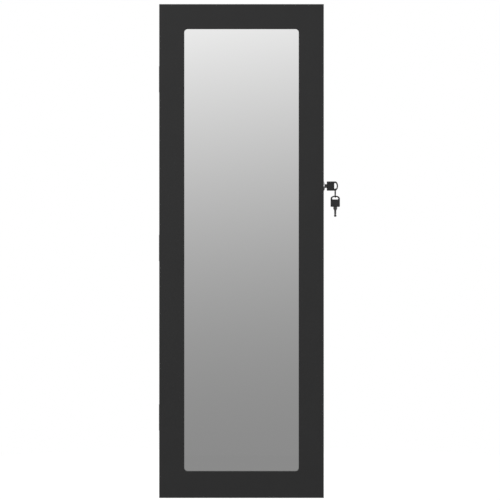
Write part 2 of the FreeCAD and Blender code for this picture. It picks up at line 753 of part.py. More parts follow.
def door_edge_side(side):
    strip = block(side * INNER_SIDE, side * SIDE, FRAME_BACK, DOOR_BACK, -END, END)
    holes = screws(all_earring_screw_places(), EARRING_SCREW_LENGTH, SEAT)
    if side < 0:
        holes += knuckle_coves()
        holes += screws(all_hinge_screw_places("door"), HINGE_SCREW_LENGTH, SEAT)
    else:
        holes += screws(keeper_screw_places(), KEEPER_SCREW_LENGTH, SEAT)
    return strip.cut(holes)


def door_edge_end(end):
    return block(-INNER_SIDE, INNER_SIDE, FRAME_BACK, DOOR_BACK, end * INNER_END, end * END)


def door_lining():
    return block(-INNER_SIDE, INNER_SIDE, FRAME_BACK, DOOR_LINING_FACE, -INNER_END, INNER_END)


def earring_bar(name):
    """A slotted strip across the door, its ends bent back as screwed tabs."""
    z = earring_bar_z(name)
    half = EARRING_BAR_HEIGHT / 2
    near = DOOR_LINING_FACE + EARRING_BAR_OFF_LINING
    far = near + EARRING_BAR
    bar = block(-INNER_SIDE, INNER_SIDE, near, far, z - half, z + half)
    tabs = []
    for side in (-1, 1):
        inner = side * (INNER_SIDE - EARRING_BAR)
        foot = DOOR_LINING_FACE + EARRING_TAB_PLAY
        tabs.append(block(inner, side * INNER_SIDE, foot, far, z - half, z + half))
    bar = bar.multiFuse(tabs).removeSplitter()
    bends = [edge_near(bar, Vector(side * INNER_SIDE, far, z)) for side in (-1, 1)]
    bar = bar.makeFillet(EARRING_BAR / 2, bends)
    slots = []
    first = -(EARRING_SLOTS - 1) * EARRING_SLOT_PITCH / 2
    for number in range(EARRING_SLOTS):
        x = first + number * EARRING_SLOT_PITCH
        left = x - EARRING_SLOT_WIDTH / 2
        right = x + EARRING_SLOT_WIDTH / 2
        slots.append(block(left, right, near, far, z + half - EARRING_SLOT_DEPTH, z + half))
    return bar.cut(slots + screws(earring_screw_places(name), EARRING_SCREW_LENGTH, SEAT))


# ---- lock ----------------------------------------------------------------------------------
def lock_point(x):
    return Vector(x, LOCK_Y, LOCK_Z)


def lock_housing():
    """Flange with a domed edge, and the threaded barrel's plain outline through the board."""
    bore = PLUG_RADIUS + RUNNING
    inside = BOARD + BARREL_INSIDE
    profile = (
        (-FLANGE_PROUD, bore),
        (-FLANGE_PROUD, FLANGE_FACE_RADIUS),
        (-FLANGE_SHOULDER_PROUD, FLANGE_SHOULDER),
        (-FLANGE_RIM, FLANGE_RADIUS),
        (0, FLANGE_RADIUS),
        (0, BARREL_RADIUS),
        (inside, BARREL_RADIUS),
        (inside, bore),
    )
    return turned(profile, lock_point(SIDE), -X_AXIS)


def lock_nut():
    corner = NUT_ACROSS_FLATS / 3 ** 0.5
    hexagon = Part.makeCircle(corner, lock_point(INNER_SIDE), -X_AXIS)
    points = hexagon.discretize(7)
    blank = Part.Face(Part.makePolygon(points)).extrude(-X_AXIS * NUT_THICKNESS)
    return blank.cut(rod(lock_point(INNER_SIDE), -X_AXIS, BARREL_RADIUS + SEAT, NUT_THICKNESS))


def keyway(depth, width):
    """A slot for the key from the plug's face inwards."""
    half_width = width / 2 + KEY_FIT
    half_thickness = KEY_METAL / 2 + KEY_FIT
    return block(
        FLANGE_FACE, FLANGE_FACE - depth, LOCK_Y - half_thickness, LOCK_Y + half_thickness,
        LOCK_Z - half_width, LOCK_Z + half_width,
    )


def square_tang(inner, outer, play=0.0):
    half = TANG / 2 + play
    return block(inner, outer, LOCK_Y - half, LOCK_Y + half, LOCK_Z - half, LOCK_Z + half)


def cam_screw(grow=0.0):
    dome = CAM_SCREW_HEAD / 2
    profile = (
        (-CAM_SCREW_HEAD, 0),
        (-CAM_SCREW_HEAD, CAM_SCREW_HEAD_RADIUS - dome),
        (-CAM_SCREW_HEAD + dome, CAM_SCREW_HEAD_RADIUS),
        (0, CAM_SCREW_HEAD_RADIUS),
        (0, CAM_SCREW_RADIUS + grow),
        (CAM_SCREW_LENGTH + grow, CAM_SCREW_RADIUS + grow),
        (CAM_SCREW_LENGTH + grow, 0),
    )
    return turned(profile, lock_point(CAM_INNER), X_AXIS)


def lock_plug():
    face = FLANGE_FACE - PLUG_SINK
    plug = rod(lock_point(CAM_OUTER), X_AXIS, PLUG_RADIUS, face - CAM_OUTER)
    plug = plug.fuse(square_tang(CAM_INNER + SEAT, CAM_OUTER))
    collar_depth = COLLAR_LENGTH + COLLAR_TAPER - COLLAR_SHOWN + KEY_END_FIT
    blade_depth = FLANGE_FACE - KEY_TIP + KEY_END_FIT
    slots = [keyway(collar_depth, COLLAR_WIDTH), keyway(blade_depth, BLADE_WIDTH)]
    return plug.cut(slots + [cam_screw(SEAT)])


def lock_cam():
    """A flat cam, unlocked at rest: it points to the front, and turns up behind the keeper."""
    half = CAM_WIDTH / 2
    blank = rod(lock_point(CAM_INNER), X_AXIS, half, CAM)
    tip = block(CAM_INNER, CAM_OUTER, LOCK_Y - CAM_REACH, LOCK_Y, LOCK_Z - half, LOCK_Z + half)
    ends = [Vector(CAM_INNER + CAM / 2, LOCK_Y - CAM_REACH, LOCK_Z + z) for z in (-half, half)]
    corners = [edge_near(tip, end) for end in ends]
    tip = tip.makeFillet(CAM_CORNER, corners)
    return blank.fuse(tip).removeSplitter().cut(square_tang(CAM_INNER, CAM_OUTER, SEAT))


def lock_keeper():
    """A bent sheet on the door: its base is screwed down, its lip hangs behind the locked cam."""
    outer = CAM_OUTER + KEEPER_BEYOND_CAM
    inner = outer - KEEPER_WIDTH
    bottom = keeper_base_z()
    lip = LOCK_Y + CAM_WIDTH / 2 + KEEPER_HOOK_GAP
    lip_back = lip + KEEPER
    top = bottom + KEEPER_BASE_HEIGHT
    base = block(inner, SIDE - KEEPER_EDGE, DOOR_BACK, DOOR_BACK + KEEPER, bottom, top)
    arm = block(inner, outer, DOOR_BACK, lip_back, bottom, bottom + KEEPER)
    hook = block(inner, outer, lip, lip_back, LOCK_Z + KEEPER_LIP_HEIGHT, bottom + KEEPER)
    keeper = base.multiFuse([arm, hook]).removeSplitter()
    middle = (inner + outer) / 2
    bend = edge_near(keeper, Vector(middle, lip_back, bottom + KEEPER))
    keeper = keeper.makeFillet(KEEPER_BEND, [bend])
    return keeper.cut(screws(keeper_screw_places(), KEEPER_SCREW_LENGTH, SEAT))


# ---- keys ----------------------------------------------------------------------------------
def key_tang_blank(play=0.0):
    """The metal inside the head, from the tang's end to the head's lower face."""
    half = COLLAR_WIDTH / 2 + play
    thick = KEY_METAL / 2 + play
    return block(-half, half, -thick, thick, -KEY_HEAD_LENGTH, -KEY_HEAD_LENGTH + KEY_TANG + play)


def loop_arc(half_width, rise, centre_z):
    """Half an ellipse over the head's end, from right to left."""
    ellipse = Part.Ellipse(
        Vector(half_width, 0, centre_z), Vector(0, 0, centre_z + rise), Vector(0, 0, centre_z)
    )
    return Part.ArcOfEllipse(ellipse, 0, math.pi).toShape()


def head_blank():
    half = KEY_HEAD_WIDTH / 2
    shoulder = -KEY_LOOP_RISE
    foot = -KEY_HEAD_LENGTH
    corner = KEY_HEAD_CORNER
    turn = corner * (1 - 2 ** -0.5)
    lower = path(
        upright,
        (-half, shoulder), (-half, foot + corner),
        ((-half + turn, foot + turn), (-half + corner, foot)),
        (half - corner, foot),
        ((half - turn, foot + turn), (half, foot + corner)),
        (half, shoulder),
    )
    return Part.Wire(lower.Edges + [loop_arc(half, KEY_LOOP_RISE, shoulder)])


def head_hole():
    half = KEY_HOLE_WIDTH / 2
    top = -KEY_LOOP_BAND - KEY_HOLE_RISE
    low = -KEY_LOOP_BAND - KEY_HOLE_LENGTH
    corner = KEY_HOLE_CORNER
    turn = corner * (1 - 2 ** -0.5)
    lower = path(
        upright,
        (-half, top), (-half, low + corner),
        ((-half + turn, low + turn), (-half + corner, low)),
        (half - corner, low),
        ((half - turn, low + turn), (half, low + corner)),
        (half, top),
    )
    return Part.Wire(lower.Edges + [loop_arc(half, KEY_HOLE_RISE, top)])


def thick_plate(wire, thickness):
    plate = Part.Face(wire).extrude(Y_AXIS * thickness)
    plate.translate(Y_AXIS * -thickness / 2)
    return plate


def hanging_key_head():
    """The moulded head, hanging from the origin at its loop's end, its width along X."""
    head = thick_plate(head_blank(), KEY_HEAD).cut(thick_plate(head_hole(), KEY_HEAD))
    face = KEY_HEAD / 2
    rims = [edge for edge in head.Edges if abs(abs(edge.CenterOfMass.y) - face) < 1e-6]
    head = head.makeChamfer(KEY_HEAD_EDGE, rims)
    middle = (-KEY_LOOP_BAND - KEY_HOLE_LENGTH - KEY_HEAD_LENGTH) / 2
    half_width = KEY_PANEL_WIDTH / 2
    half_length = KEY_PANEL_LENGTH / 2
    panels = []
    for side in (-1, 1):
        panel = block(
            -half_width, half_width, side * face, side * (face - KEY_PANEL_SINK),
            middle - half_length, middle + half_length,
        )
        panels.append(rounded(panel, KEY_PANEL_CORNER, Y_AXIS))
    return head.cut(panels + [key_tang_blank(SEAT)])


def blade_side():
    """Half widths down one side of the blade, from the collar to the tip."""
    collar = COLLAR_WIDTH / 2
    blade = BLADE_WIDTH / 2
    foot = -KEY_HEAD_LENGTH
    start = foot - COLLAR_LENGTH - COLLAR_TAPER
    steps = [(collar, foot), (collar, foot - COLLAR_LENGTH), (blade, start)]
    flat = BITTING_FLAT / 2
    reach = flat + BITTING_SLOPE
    for number, depth in enumerate(BITTING):
        middle = start - BITTING_FIRST - number * BITTING_PITCH
        cut = ((reach, blade), (flat, blade - depth), (-flat, blade - depth), (-reach, blade))
        steps += [(width, middle + drop) for drop, width in cut]
    end = start - BLADE_LENGTH
    steps += [(blade, end + BLADE_TIP), (blade - BLADE_TIP, end)]
    return steps


def hanging_key_blade():
    right = blade_side()
    left = [(-width, z) for width, z in reversed(right)]
    blade = thick_plate(path(upright, *right, *left, right[0]), KEY_METAL)
    return blade.fuse(key_tang_blank()).removeSplitter()


def in_lock(shape):
    """Turn a hanging key level and slide it home in the plug."""
    shape = shape.copy()
    shape.Placement = Placement(lock_point(KEY_END), Rotation(Y_AXIS, 90))
    return shape


def on_ring(shape):
    shape = shape.copy()
    shape.Placement = Placement(Vector(RING_X, LOCK_Y, SPARE_TOP), Rotation())
    return shape


def key_ring():
    axial = RING_AXIAL
    radial = RING_RADIAL
    cut = RING_CHAMFER
    section = (
        (-axial, RING_RADIUS - radial + cut),
        (-axial, RING_RADIUS + radial - cut),
        (-axial + cut, RING_RADIUS + radial),
        (axial - cut, RING_RADIUS + radial),
        (axial, RING_RADIUS + radial - cut),
        (axial, RING_RADIUS - radial + cut),
        (axial - cut, RING_RADIUS - radial),
        (-axial + cut, RING_RADIUS - radial),
    )
    return turned(section, Vector(RING_X, LOCK_Y, RING_Z), X_AXIS)


# ---- the whole cabinet ---------------------------------------------------------------------
def build():
    nodes = {
        "case_side_left": case_side(-1),
        "case_side_right": case_side(1),
        "case_top": case_end(1),
        "case_bottom": case_end(-1),
        "case_dowels": pins(case_dowel_places(), DOWEL_RADIUS, DOWEL_LENGTH),
        "back_panel": back_panel(),
        "back_lining": back_lining(),
        "hanging_rail": hanging_rail(),
        "keyhole_plate_left": keyhole_plate(-1),
        "keyhole_plate_right": keyhole_plate(1),
        "keyhole_screws": screws(keyhole_screw_places(-1) + keyhole_screw_places(1), KEYHOLE_SCREW_LENGTH),
        "hook_rail": hook_rail(),
        "hook_rail_screws": screws(hook_rail_screw_places(), HOOK_RAIL_SCREW_LENGTH),
        "necklace_hooks": [necklace_hook(x) for x in hook_places()],
        "shelf_pins": pins(all_shelf_pin_places(), SHELF_PIN_RADIUS, SHELF_PIN_LENGTH),
        "ring_tray": ring_tray(),
        "ring_cushion": ring_cushion(),
        "bracelet_bar": bracelet_bar(),
        "bracelet_bar_sockets": [bracelet_bar_socket(side) for side in (-1, 1)],
        "bumper_pads": [bumper_pad(end) for end in (-1, 1)],
        "hinge_pins": [hinge_pin(name) for name in HINGE_NAMES],
        "hinge_screws_case": screws(all_hinge_screw_places("case"), HINGE_SCREW_LENGTH),
        "hinge_screws_door": screws(all_hinge_screw_places("door"), HINGE_SCREW_LENGTH),
        "door_frame": door_frame(),
        "door_edge_left": door_edge_side(-1),
        "door_edge_right": door_edge_side(1),
        "door_edge_top": door_edge_end(1),
        "door_edge_bottom": door_edge_end(-1),
        "mirror": mirror(),
        "mirror_backing": mirror_backing(),
        "door_lining": door_lining(),
        "earring_bar_screws": screws(all_earring_screw_places(), EARRING_SCREW_LENGTH),
        "lock_housing": lock_housing(),
        "lock_nut": lock_nut(),
        "lock_plug": lock_plug(),
        "lock_cam": lock_cam(),
        "cam_screw": cam_screw(),
        "lock_keeper": lock_keeper(),
        "keeper_screws": screws(keeper_screw_places(), KEEPER_SCREW_LENGTH),
        "key_head": in_lock(hanging_key_head()),
        "key_blade": in_lock(hanging_key_blade()),
        "key_ring": key_ring(),
        "spare_key_head": on_ring(hanging_key_head()),
        "spare_key_blade": on_ring(hanging_key_blade()),
    }
    for name in SHELF_NAMES:
        nodes["shelf_" + name] = shelf(name)
    for number, name in enumerate(SHELF_NAMES):
        nodes["guard_rail_" + name] = guard_rail(number)
    for name in HINGE_NAMES:
        for owner in ("case", "door"):
            nodes["hinge_" + name + "_" + owner + "_leaf"] = hinge_leaf(name, owner)
    for name in EARRING_BAR_NAMES:
        nodes["earring_bar_" + name] = earring_bar(name)
    return nodes


def main():
    os.makedirs("parts", exist_ok=True)
    for name, shape in build().items():
        if isinstance(shape, list):
            shape = Part.makeCompound(shape)
        shape.exportStep("parts/" + name + ".step")


main()
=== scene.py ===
import json
import math

import bmesh
import bpy
from mathutils import Matrix, Vector, noise


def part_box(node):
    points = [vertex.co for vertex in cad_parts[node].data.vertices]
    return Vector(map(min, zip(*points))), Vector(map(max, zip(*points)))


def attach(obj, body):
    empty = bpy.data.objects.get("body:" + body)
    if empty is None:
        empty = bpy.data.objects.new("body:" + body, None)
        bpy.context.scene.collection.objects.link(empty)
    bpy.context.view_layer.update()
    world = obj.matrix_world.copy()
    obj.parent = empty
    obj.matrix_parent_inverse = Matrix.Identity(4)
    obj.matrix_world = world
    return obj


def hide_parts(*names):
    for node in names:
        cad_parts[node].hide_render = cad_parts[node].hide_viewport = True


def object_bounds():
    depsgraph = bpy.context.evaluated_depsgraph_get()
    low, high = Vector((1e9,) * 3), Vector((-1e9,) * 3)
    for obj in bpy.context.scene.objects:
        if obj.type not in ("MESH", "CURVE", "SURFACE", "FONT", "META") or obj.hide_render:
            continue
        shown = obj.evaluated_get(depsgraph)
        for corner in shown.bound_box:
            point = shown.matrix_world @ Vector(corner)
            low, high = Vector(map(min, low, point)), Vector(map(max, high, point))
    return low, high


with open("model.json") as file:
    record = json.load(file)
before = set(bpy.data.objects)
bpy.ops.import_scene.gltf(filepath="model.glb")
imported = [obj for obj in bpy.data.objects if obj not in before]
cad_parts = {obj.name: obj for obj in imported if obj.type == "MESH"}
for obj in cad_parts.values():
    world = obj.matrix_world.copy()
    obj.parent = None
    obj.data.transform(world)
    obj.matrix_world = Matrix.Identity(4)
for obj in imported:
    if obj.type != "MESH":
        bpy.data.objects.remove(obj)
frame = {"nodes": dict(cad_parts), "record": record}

# Jewelry cabinet behind a mirror door, dressed for the render. Metres, in the frame of its construction:
# +X is the viewer's right, the door faces -Y, +Z is up and the origin is the middle of the back.

bl_info = {
    "name": "Jewelry mirror cabinet",
    "version": (1, 0, 0),
    "blender": (4, 5, 0),
    "location": "3D View > Sidebar > Cabinet",
    "description": "Finishes and small pieces of a wall-hung jewelry cabinet",
    "category": "Object",
}

MM = 0.001
CONSTRUCTION_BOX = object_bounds()
SLOTS = {part["node"]: part["material_slot"] for part in frame["record"]["subparts"]}
BODIES = {node: body for body, nodes in frame["record"]["behaviour"]["bodies"].items() for node in nodes}


# ---- sizes and colours that a user may change ----------------------------------------------
def colour(name, description, default):
    return bpy.props.FloatVectorProperty(
        name=name, description=description, default=default, subtype="COLOR", min=0.0, max=1.0
    )


def length(name, description, default):
    return bpy.props.FloatProperty(
        name=name, description=description, default=default, min=0.0, subtype="DISTANCE", unit="LENGTH"
    )


def share(name, description, default):
    return bpy.props.FloatProperty(
        name=name, description=description, default=default, min=0.0, max=1.0, subtype="FACTOR"
    )


class CabinetFinish(bpy.types.PropertyGroup):
    lacquer: colour("Lacquer", "Satin paint on the boards", (0.0275, 0.0275, 0.0277))
    lacquer_roughness: share("Lacquer roughness", "Gloss of the paint, low is shiny", 0.46)
    flock: colour("Flock", "Velvet flock on the linings, shelves and bars", (0.022, 0.022, 0.024))
    velvet: colour("Velvet", "Cloth on the ring cushion", (0.030, 0.030, 0.033))
    silver: colour("Silvering", "Tint of the mirror", (0.908, 0.908, 0.906))
    chrome: colour("Chrome", "Lock, rods and hooks", (0.62, 0.62, 0.63))
    plastic: colour("Key plastic", "Moulded heads of the keys", (0.026, 0.026, 0.027))
    # painted shade: the blades' nickel is set darker than the bare metal, for the dark surroundings it
    # mirrors
    nickel: colour("Key nickel", "Dark nickel on the keys' blades", (0.105, 0.104, 0.102))
    # painted shade: the ring's steel is set far darker than bare steel, for the dark surroundings it mirrors
    ring: colour("Ring steel", "Split ring between the keys", (0.09, 0.09, 0.092))


class KeyShape(bpy.types.PropertyGroup):
    loop_rise: length("Loop rise", "Height of the head's rounded end", 5.2 * MM)
    loop_band: length("Loop band", "Width of the loop round its hole", 2.4 * MM)
    hole_rise: length("Hole rise", "Height of the hole's rounded end", 3.0 * MM)
    hole_length: length("Hole length", "Hole along the head", 4.6 * MM)
    hole_width: length("Hole width", "Hole across the head", 11.4 * MM)
    panel_width: length("Panel width", "Sunk panel across the head", 10.6 * MM)
    panel_length: length("Panel length", "Sunk panel along the head", 10.0 * MM)
    panel_sink: length("Panel sink", "Depth of the panel", 0.35 * MM)
    edge: length("Edge", "Rounding of the moulded edges", 0.7 * MM)
    groove_width: length("Groove width", "Milled groove along the blade", 0.9 * MM)
    groove_depth: length("Groove depth", "Depth of the groove", 0.45 * MM)


class StageSettings(bpy.types.PropertyGroup):
    floor_drop: length("Floor drop", "Floor below the hung cabinet", 0.30)
    floor_radius: length("Floor radius", "Reach of the floor round the cabinet", 2.3)
    ambient: bpy.props.FloatProperty(
        name="Ambient", description="Light that comes from all round", default=0.62, min=0.0
    )
    key_power: bpy.props.FloatProperty(
        name="Key light", description="Large soft lamp on the left", default=24.0, min=0.0, unit="POWER"
    )
    fill_power: bpy.props.FloatProperty(
        name="Fill light", description="Large soft lamp on the right", default=11.0, min=0.0, unit="POWER"
    )
    camera_place: bpy.props.FloatVectorProperty(
        name="Camera", description="Place of the camera", default=(0.0155, -2.285, 0.0019),
        subtype="TRANSLATION", unit="LENGTH",
    )
    lens: bpy.props.FloatProperty(
        name="Lens", description="Focal length on a 36 mm sensor", default=86.95, min=1.0, unit="CAMERA"
    )


# ---- shader expressions ---------------------------------------------------------------------
class Signal:
    """A shader value that takes part in Python expressions."""

    def __init__(self, tree, socket):
        self.tree = tree
        self.socket = socket

    def _math(self, operation, first, second):
        return self.tree.node("Math", {"operation": operation}, first, second)

    def __add__(self, other):
        return self._math("ADD", self, other)

    def __sub__(self, other):
        return self._math("SUBTRACT", self, other)

    def __rsub__(self, other):
        return self._math("SUBTRACT", other, self)

    def __mul__(self, other):
        return self._math("MULTIPLY", self, other)

    def __gt__(self, other):
        return self._math("GREATER_THAN", self, other)

    __radd__ = __add__
    __rmul__ = __mul__


class Tree:
    """The nodes of one material or of the world."""

    def __init__(self, owner):
        owner.use_nodes = True
        self.nodes = owner.node_tree.nodes
        self.links = owner.node_tree.links
        self.nodes.clear()

    def node(self, kind, settings=None, *values, out=0, **named):
        """Adds a node: settings first, then its sockets by order or by name, and gives one output."""
        made = self.nodes.new("ShaderNode" + kind)
        for key, value in (settings or {}).items():
            setattr(made, key, value)
        shown = [socket for socket in made.inputs if socket.enabled]
        pairs = list(zip(shown, values))
        for key, value in named.items():
            wanted = key.replace("_", " ")
            pairs.append((next(socket for socket in shown if socket.name == wanted), value))
        for socket, value in pairs:
            if isinstance(value, Signal):
                self.links.new(value.socket, socket)
            elif value is not None:
                socket.default_value = value
        outputs = [socket for socket in made.outputs if socket.enabled]
        return Signal(self, outputs[out]) if outputs else made

    def mix(self, amount, first, second):
        """Blends two colours."""
        return self.node("Mix", {"data_type": "RGBA"}, amount, opaque(first), opaque(second))

    def place(self, stretch=(1.0, 1.0, 1.0)):
        """The piece's own coordinates in metres, stretched along its axes."""
        own = self.node("TexCoord", out=3)
        return self.node("Mapping", None, own, Scale=stretch)

    def noise(self, scale, detail, stretch=(1.0, 1.0, 1.0)):
        return self.node("TexNoise", None, self.place(stretch), Scale=scale, Detail=detail)

    def bump(self, height, strength, distance):
        return self.node("Bump", None, Strength=strength, Distance=distance, Height=height)


def opaque(value):
    return value if isinstance(value, Signal) else (*value, 1.0)


def shaded(value, factor):
    return tuple(min(1.0, channel * factor) for channel in value)


def material(name, make):
    """A material by name, made once: make(tree) gives the sockets of its one surface shader."""
    name = "cabinet_" + name
    found = bpy.data.materials.get(name)
    if found:
        return found
    found = bpy.data.materials.new(name)
    tree = Tree(found)
    surface = tree.node("BsdfPrincipled", None, **make(tree))
    tree.node("OutputMaterial", None, surface)
    return found


# ---- finishes -------------------------------------------------------------------------------
BEECH_DARK = (0.42, 0.26, 0.14)
BEECH_LIGHT = (0.62, 0.43, 0.26)
BEECH_RAY = (0.25, 0.13, 0.06)
NAP_SHEEN = (0.35, 0.35, 0.37, 1.0)
MIRROR_PAINT = ((0.16, 0.2, 0.18), (0.24, 0.28, 0.26))
ZINC = (0.46, 0.46, 0.44)
BLACK_STEEL = (0.035, 0.035, 0.036)
BLACK_RUBBER = (0.03, 0.03, 0.03)
BLACK_FACING = (0.02, 0.02, 0.0195)
HARDBOARD = (0.17, 0.1, 0.055)
SILVERED = 0.05 * MM        # the glass is silver up to here behind its front face


def finish():
    return bpy.context.scene.cabinet_finish


def lacquer():
    """Sprayed satin paint: a faint orange peel, a little dust in the gloss."""
    tone = tuple(finish().lacquer)

    def make(tree):
        broad = tree.noise(scale=16.0, detail=2.0)
        peel = tree.noise(scale=1100.0, detail=2.0)
        dust = tree.noise(scale=260.0, detail=4.0)
        return {
            "Base_Color": tree.mix(broad, shaded(tone, 0.95), shaded(tone, 1.05)),
            "Roughness": finish().lacquer_roughness + dust * 0.08,
            "Specular_IOR_Level": 0.10,
            "Normal": tree.bump(peel, strength=0.12, distance=0.12 * MM),
        }

    return material("lacquer", make)


def board(name, tone, fibre):
    """Pressed fibreboard: short fibres, matt, a little uneven in tone."""

    def make(tree):
        fibres = tree.noise(scale=420.0, detail=6.0, stretch=(1.0, 1.0, 0.45))
        patches = tree.noise(scale=28.0, detail=3.0)
        light = tree.mix(patches, shaded(tone, 1.0 - fibre), shaded(tone, 1.0 + fibre))
        return {
            "Base_Color": tree.mix(fibres * fibre, light, shaded(tone, 1.7)),
            "Roughness": 0.62 + fibres * 0.16,
            "Specular_IOR_Level": 0.3,
            "Normal": tree.bump(fibres, strength=0.3, distance=0.2 * MM),
        }

    return material(name, make)


def beech():
    """Turned beech: long grain and short dark rays."""

    def make(tree):
        grain = tree.noise(scale=900.0, detail=5.0, stretch=(0.06, 1.0, 1.0))
        flecks = tree.noise(scale=1700.0, detail=1.0, stretch=(0.25, 1.0, 1.0))
        rays = tree.node("MapRange", None, flecks, 0.58, 0.72, 0.0, 0.6)
        body = tree.mix(grain, BEECH_DARK, BEECH_LIGHT)
        return {
            "Base_Color": tree.mix(rays, body, BEECH_RAY),
            "Roughness": 0.55 + grain * 0.15,
            "Normal": tree.bump(grain, strength=0.2, distance=0.1 * MM),
        }

    return material("beech_dowel", make)


def pile(name, tone, sheen, patch):
    """Short velvet pile: brushed patches, a fine nap and sheen at grazing angles."""

    def make(tree):
        brushed = tree.noise(scale=patch, detail=3.0)
        nap = tree.noise(scale=2600.0, detail=3.0)
        soft = tree.mix(brushed, shaded(tone, 0.7), shaded(tone, 1.45))
        return {
            "Base_Color": tree.mix(nap * 0.5, soft, shaded(tone, 0.4)),
            "Roughness": 0.86 + nap * 0.12,
            "Specular_IOR_Level": 0.15,
            "Sheen_Weight": sheen,
            "Sheen_Roughness": 0.45,
            "Sheen_Tint": NAP_SHEEN,
            "Normal": tree.bump(nap, strength=0.45, distance=0.3 * MM),
        }

    return material(name, make)


def flocked_board():
    return pile("flocked_board", tuple(finish().flock), sheen=0.22, patch=22.0)


def flock_lining():
    return pile("flock_lining", tuple(finish().flock), sheen=0.3, patch=14.0)


def cushion_velvet():
    return pile("cushion_velvet", tuple(finish().velvet), sheen=0.5, patch=60.0)


def mirror_glass():
    """Silver on the front face, wherever the door is; ground edges and a painted back elsewhere."""
    tone = tuple(finish().silver)
    face = min(vert.co.y for vert in frame["nodes"]["mirror"].data.vertices)

    def make(tree):
        depth = tree.node("SeparateXYZ", None, tree.place(), out=1) - face
        front = 1.0 - (depth > SILVERED)
        ground = tree.noise(scale=900.0, detail=3.0)
        paint = tree.mix(ground, *MIRROR_PAINT)
        haze = tree.noise(scale=9.0, detail=2.0)
        return {
            "Base_Color": tree.mix(front, paint, tone),
            "Metallic": front,
            "Roughness": (1.0 - front) * 0.45 + haze * 0.012,
        }

    return material("mirror_glass", make)


def metal(name, tone, roughness, spread, mark_scale, stretch=(1.0, 1.0, 1.0), coat=0.0):
    """Bare or plated metal with fine marks along one direction."""

    def make(tree):
        marks = tree.noise(scale=mark_scale, detail=4.0, stretch=stretch)
        cloud = tree.noise(scale=120.0, detail=2.0)
        return {
            "Base_Color": tree.mix(cloud, shaded(tone, 0.93), shaded(tone, 1.06)),
            "Metallic": 1.0,
            "Roughness": roughness + marks * spread,
            "Coat_Weight": coat,
            "Normal": tree.bump(marks, strength=0.08, distance=0.06 * MM),
        }

    return material(name, make)


def chrome():
    return metal("polished_chrome", tuple(finish().chrome), roughness=0.07, spread=0.08, mark_scale=1500.0)


# steel darkened in tone: painted shade for the dark surroundings the ring mirrors
def ring_steel_painted_dark():
    return metal("ring_steel_painted_dark", tuple(finish().ring), roughness=0.16, spread=0.1, mark_scale=1500.0)


def zinc():
    return metal("zinc_plate", ZINC, roughness=0.3, spread=0.18, mark_scale=1900.0)


# nickel darkened in tone: painted shade for the dark surroundings the blades mirror
def nickel():
    tone = tuple(finish().nickel)
    return metal("key_nickel", tone, roughness=0.26, spread=0.16, mark_scale=2600.0, stretch=(1.0, 1.0, 0.15))


def hinge_black():
    return metal("hinge_black_steel", BLACK_STEEL, roughness=0.36, spread=0.14, mark_scale=1300.0, coat=0.25)


def moulded(name, tone, roughness, grain, strength):
    """Moulded plastic or rubber with an even spark-eroded skin."""

    def make(tree):
        skin = tree.noise(scale=grain, detail=2.0)
        flow = tree.noise(scale=70.0, detail=2.0)
        return {
            "Base_Color": tree.mix(flow, shaded(tone, 0.9), shaded(tone, 1.12)),
            "Roughness": roughness + skin * 0.12,
            "Specular_IOR_Level": 0.38,
            "Normal": tree.bump(skin, strength=strength, distance=0.1 * MM),
        }

    return material(name, make)


def key_plastic():
    return moulded("key_plastic", tuple(finish().plastic), roughness=0.36, grain=2400.0, strength=0.2)


def bumper_rubber():
    return moulded("bumper_rubber", BLACK_RUBBER, roughness=0.66, grain=1500.0, strength=0.3)


def back_board():
    return board("black_faced_board", BLACK_FACING, fibre=0.25)


def backing_board():
    return board("brown_hardboard", HARDBOARD, fibre=0.3)


FINISHES = {
    "black_lacquer": lacquer,
    "back_board": back_board,
    "backing_board": backing_board,
    "dowel_beech": beech,
    "flocked_board": flocked_board,
    "flock_lining": flock_lining,
    "cushion_velvet": cushion_velvet,
    "mirror_glass": mirror_glass,
    "hinge_black_steel": hinge_black,
    "zinc_steel": zinc,
    "chrome": chrome,
    "key_plastic": key_plastic,
    "key_nickel": nickel,
    "bumper_rubber": bumper_rubber,
}


# ---- making pieces --------------------------------------------------------------------------
SMOOTH = 35.0       # degrees between faces that still shade as one
SAME_PLACE = 1e-6   # metres between corners that are one


def tidy(bm):
    """Merges doubles and turns the faces outwards."""
    bmesh.ops.remove_doubles(bm, verts=bm.verts, dist=SAME_PLACE)
    bmesh.ops.recalc_face_normals(bm, faces=bm.faces)


def verts_in(items):
    return [item for item in items if isinstance(item, bmesh.types.BMVert)]


def edges_in(items):
    return [item for item in items if isinstance(item, bmesh.types.BMEdge)]


def open_edges(bm):
    return [edge for edge in bm.edges if edge.is_boundary]


def rounded(bm, edges, radius, segments):
    """Rounds some edges of a mesh."""
    bmesh.ops.bevel(
        bm, geom=edges, offset=radius, offset_type="OFFSET", affect="EDGES",
        segments=segments, profile=0.5, material=-1, clamp_overlap=True,
    )


def thickened(bm, thick):
    """Makes a slab of a flat outline, towards +Y, and gives the edges of its new face."""
    swept = bmesh.ops.extrude_face_region(bm, geom=bm.faces[:], use_keep_orig=True)["geom"]
    bmesh.ops.translate(bm, verts=verts_in(swept), vec=(0, thick, 0))
    return edges_in(swept)


def as_object(name, bm, smooth=SMOOTH):
    """An object of the mesh, smooth up to an angle in degrees."""
    mesh = bpy.data.meshes.new(name)
    bm.to_mesh(mesh)
    bm.free()
    for face in mesh.polygons:
        face.use_smooth = True
    mesh.set_sharp_from_angle(angle=math.radians(smooth))
    made = bpy.data.objects.new(name, mesh)
    bpy.context.scene.collection.objects.link(made)
    return made


def joined(name, meshes, smooth=SMOOTH):
    """One object from several meshes."""
    whole = bmesh.new()
    for bm in meshes:
        part = bpy.data.meshes.new("part")
        bm.to_mesh(part)
        bm.free()
        whole.from_mesh(part)
        bpy.data.meshes.remove(part)
    return as_object(name, whole, smooth)


def settled(made):
    """Applies the modifiers, so that the mesh itself has the final shape."""
    bpy.context.view_layer.update()
    graph = bpy.context.evaluated_depsgraph_get()
    mesh = bpy.data.meshes.new_from_object(made.evaluated_get(graph))
    made.modifiers.clear()
    old = made.data
    made.data = mesh
    bpy.data.meshes.remove(old)
    return made


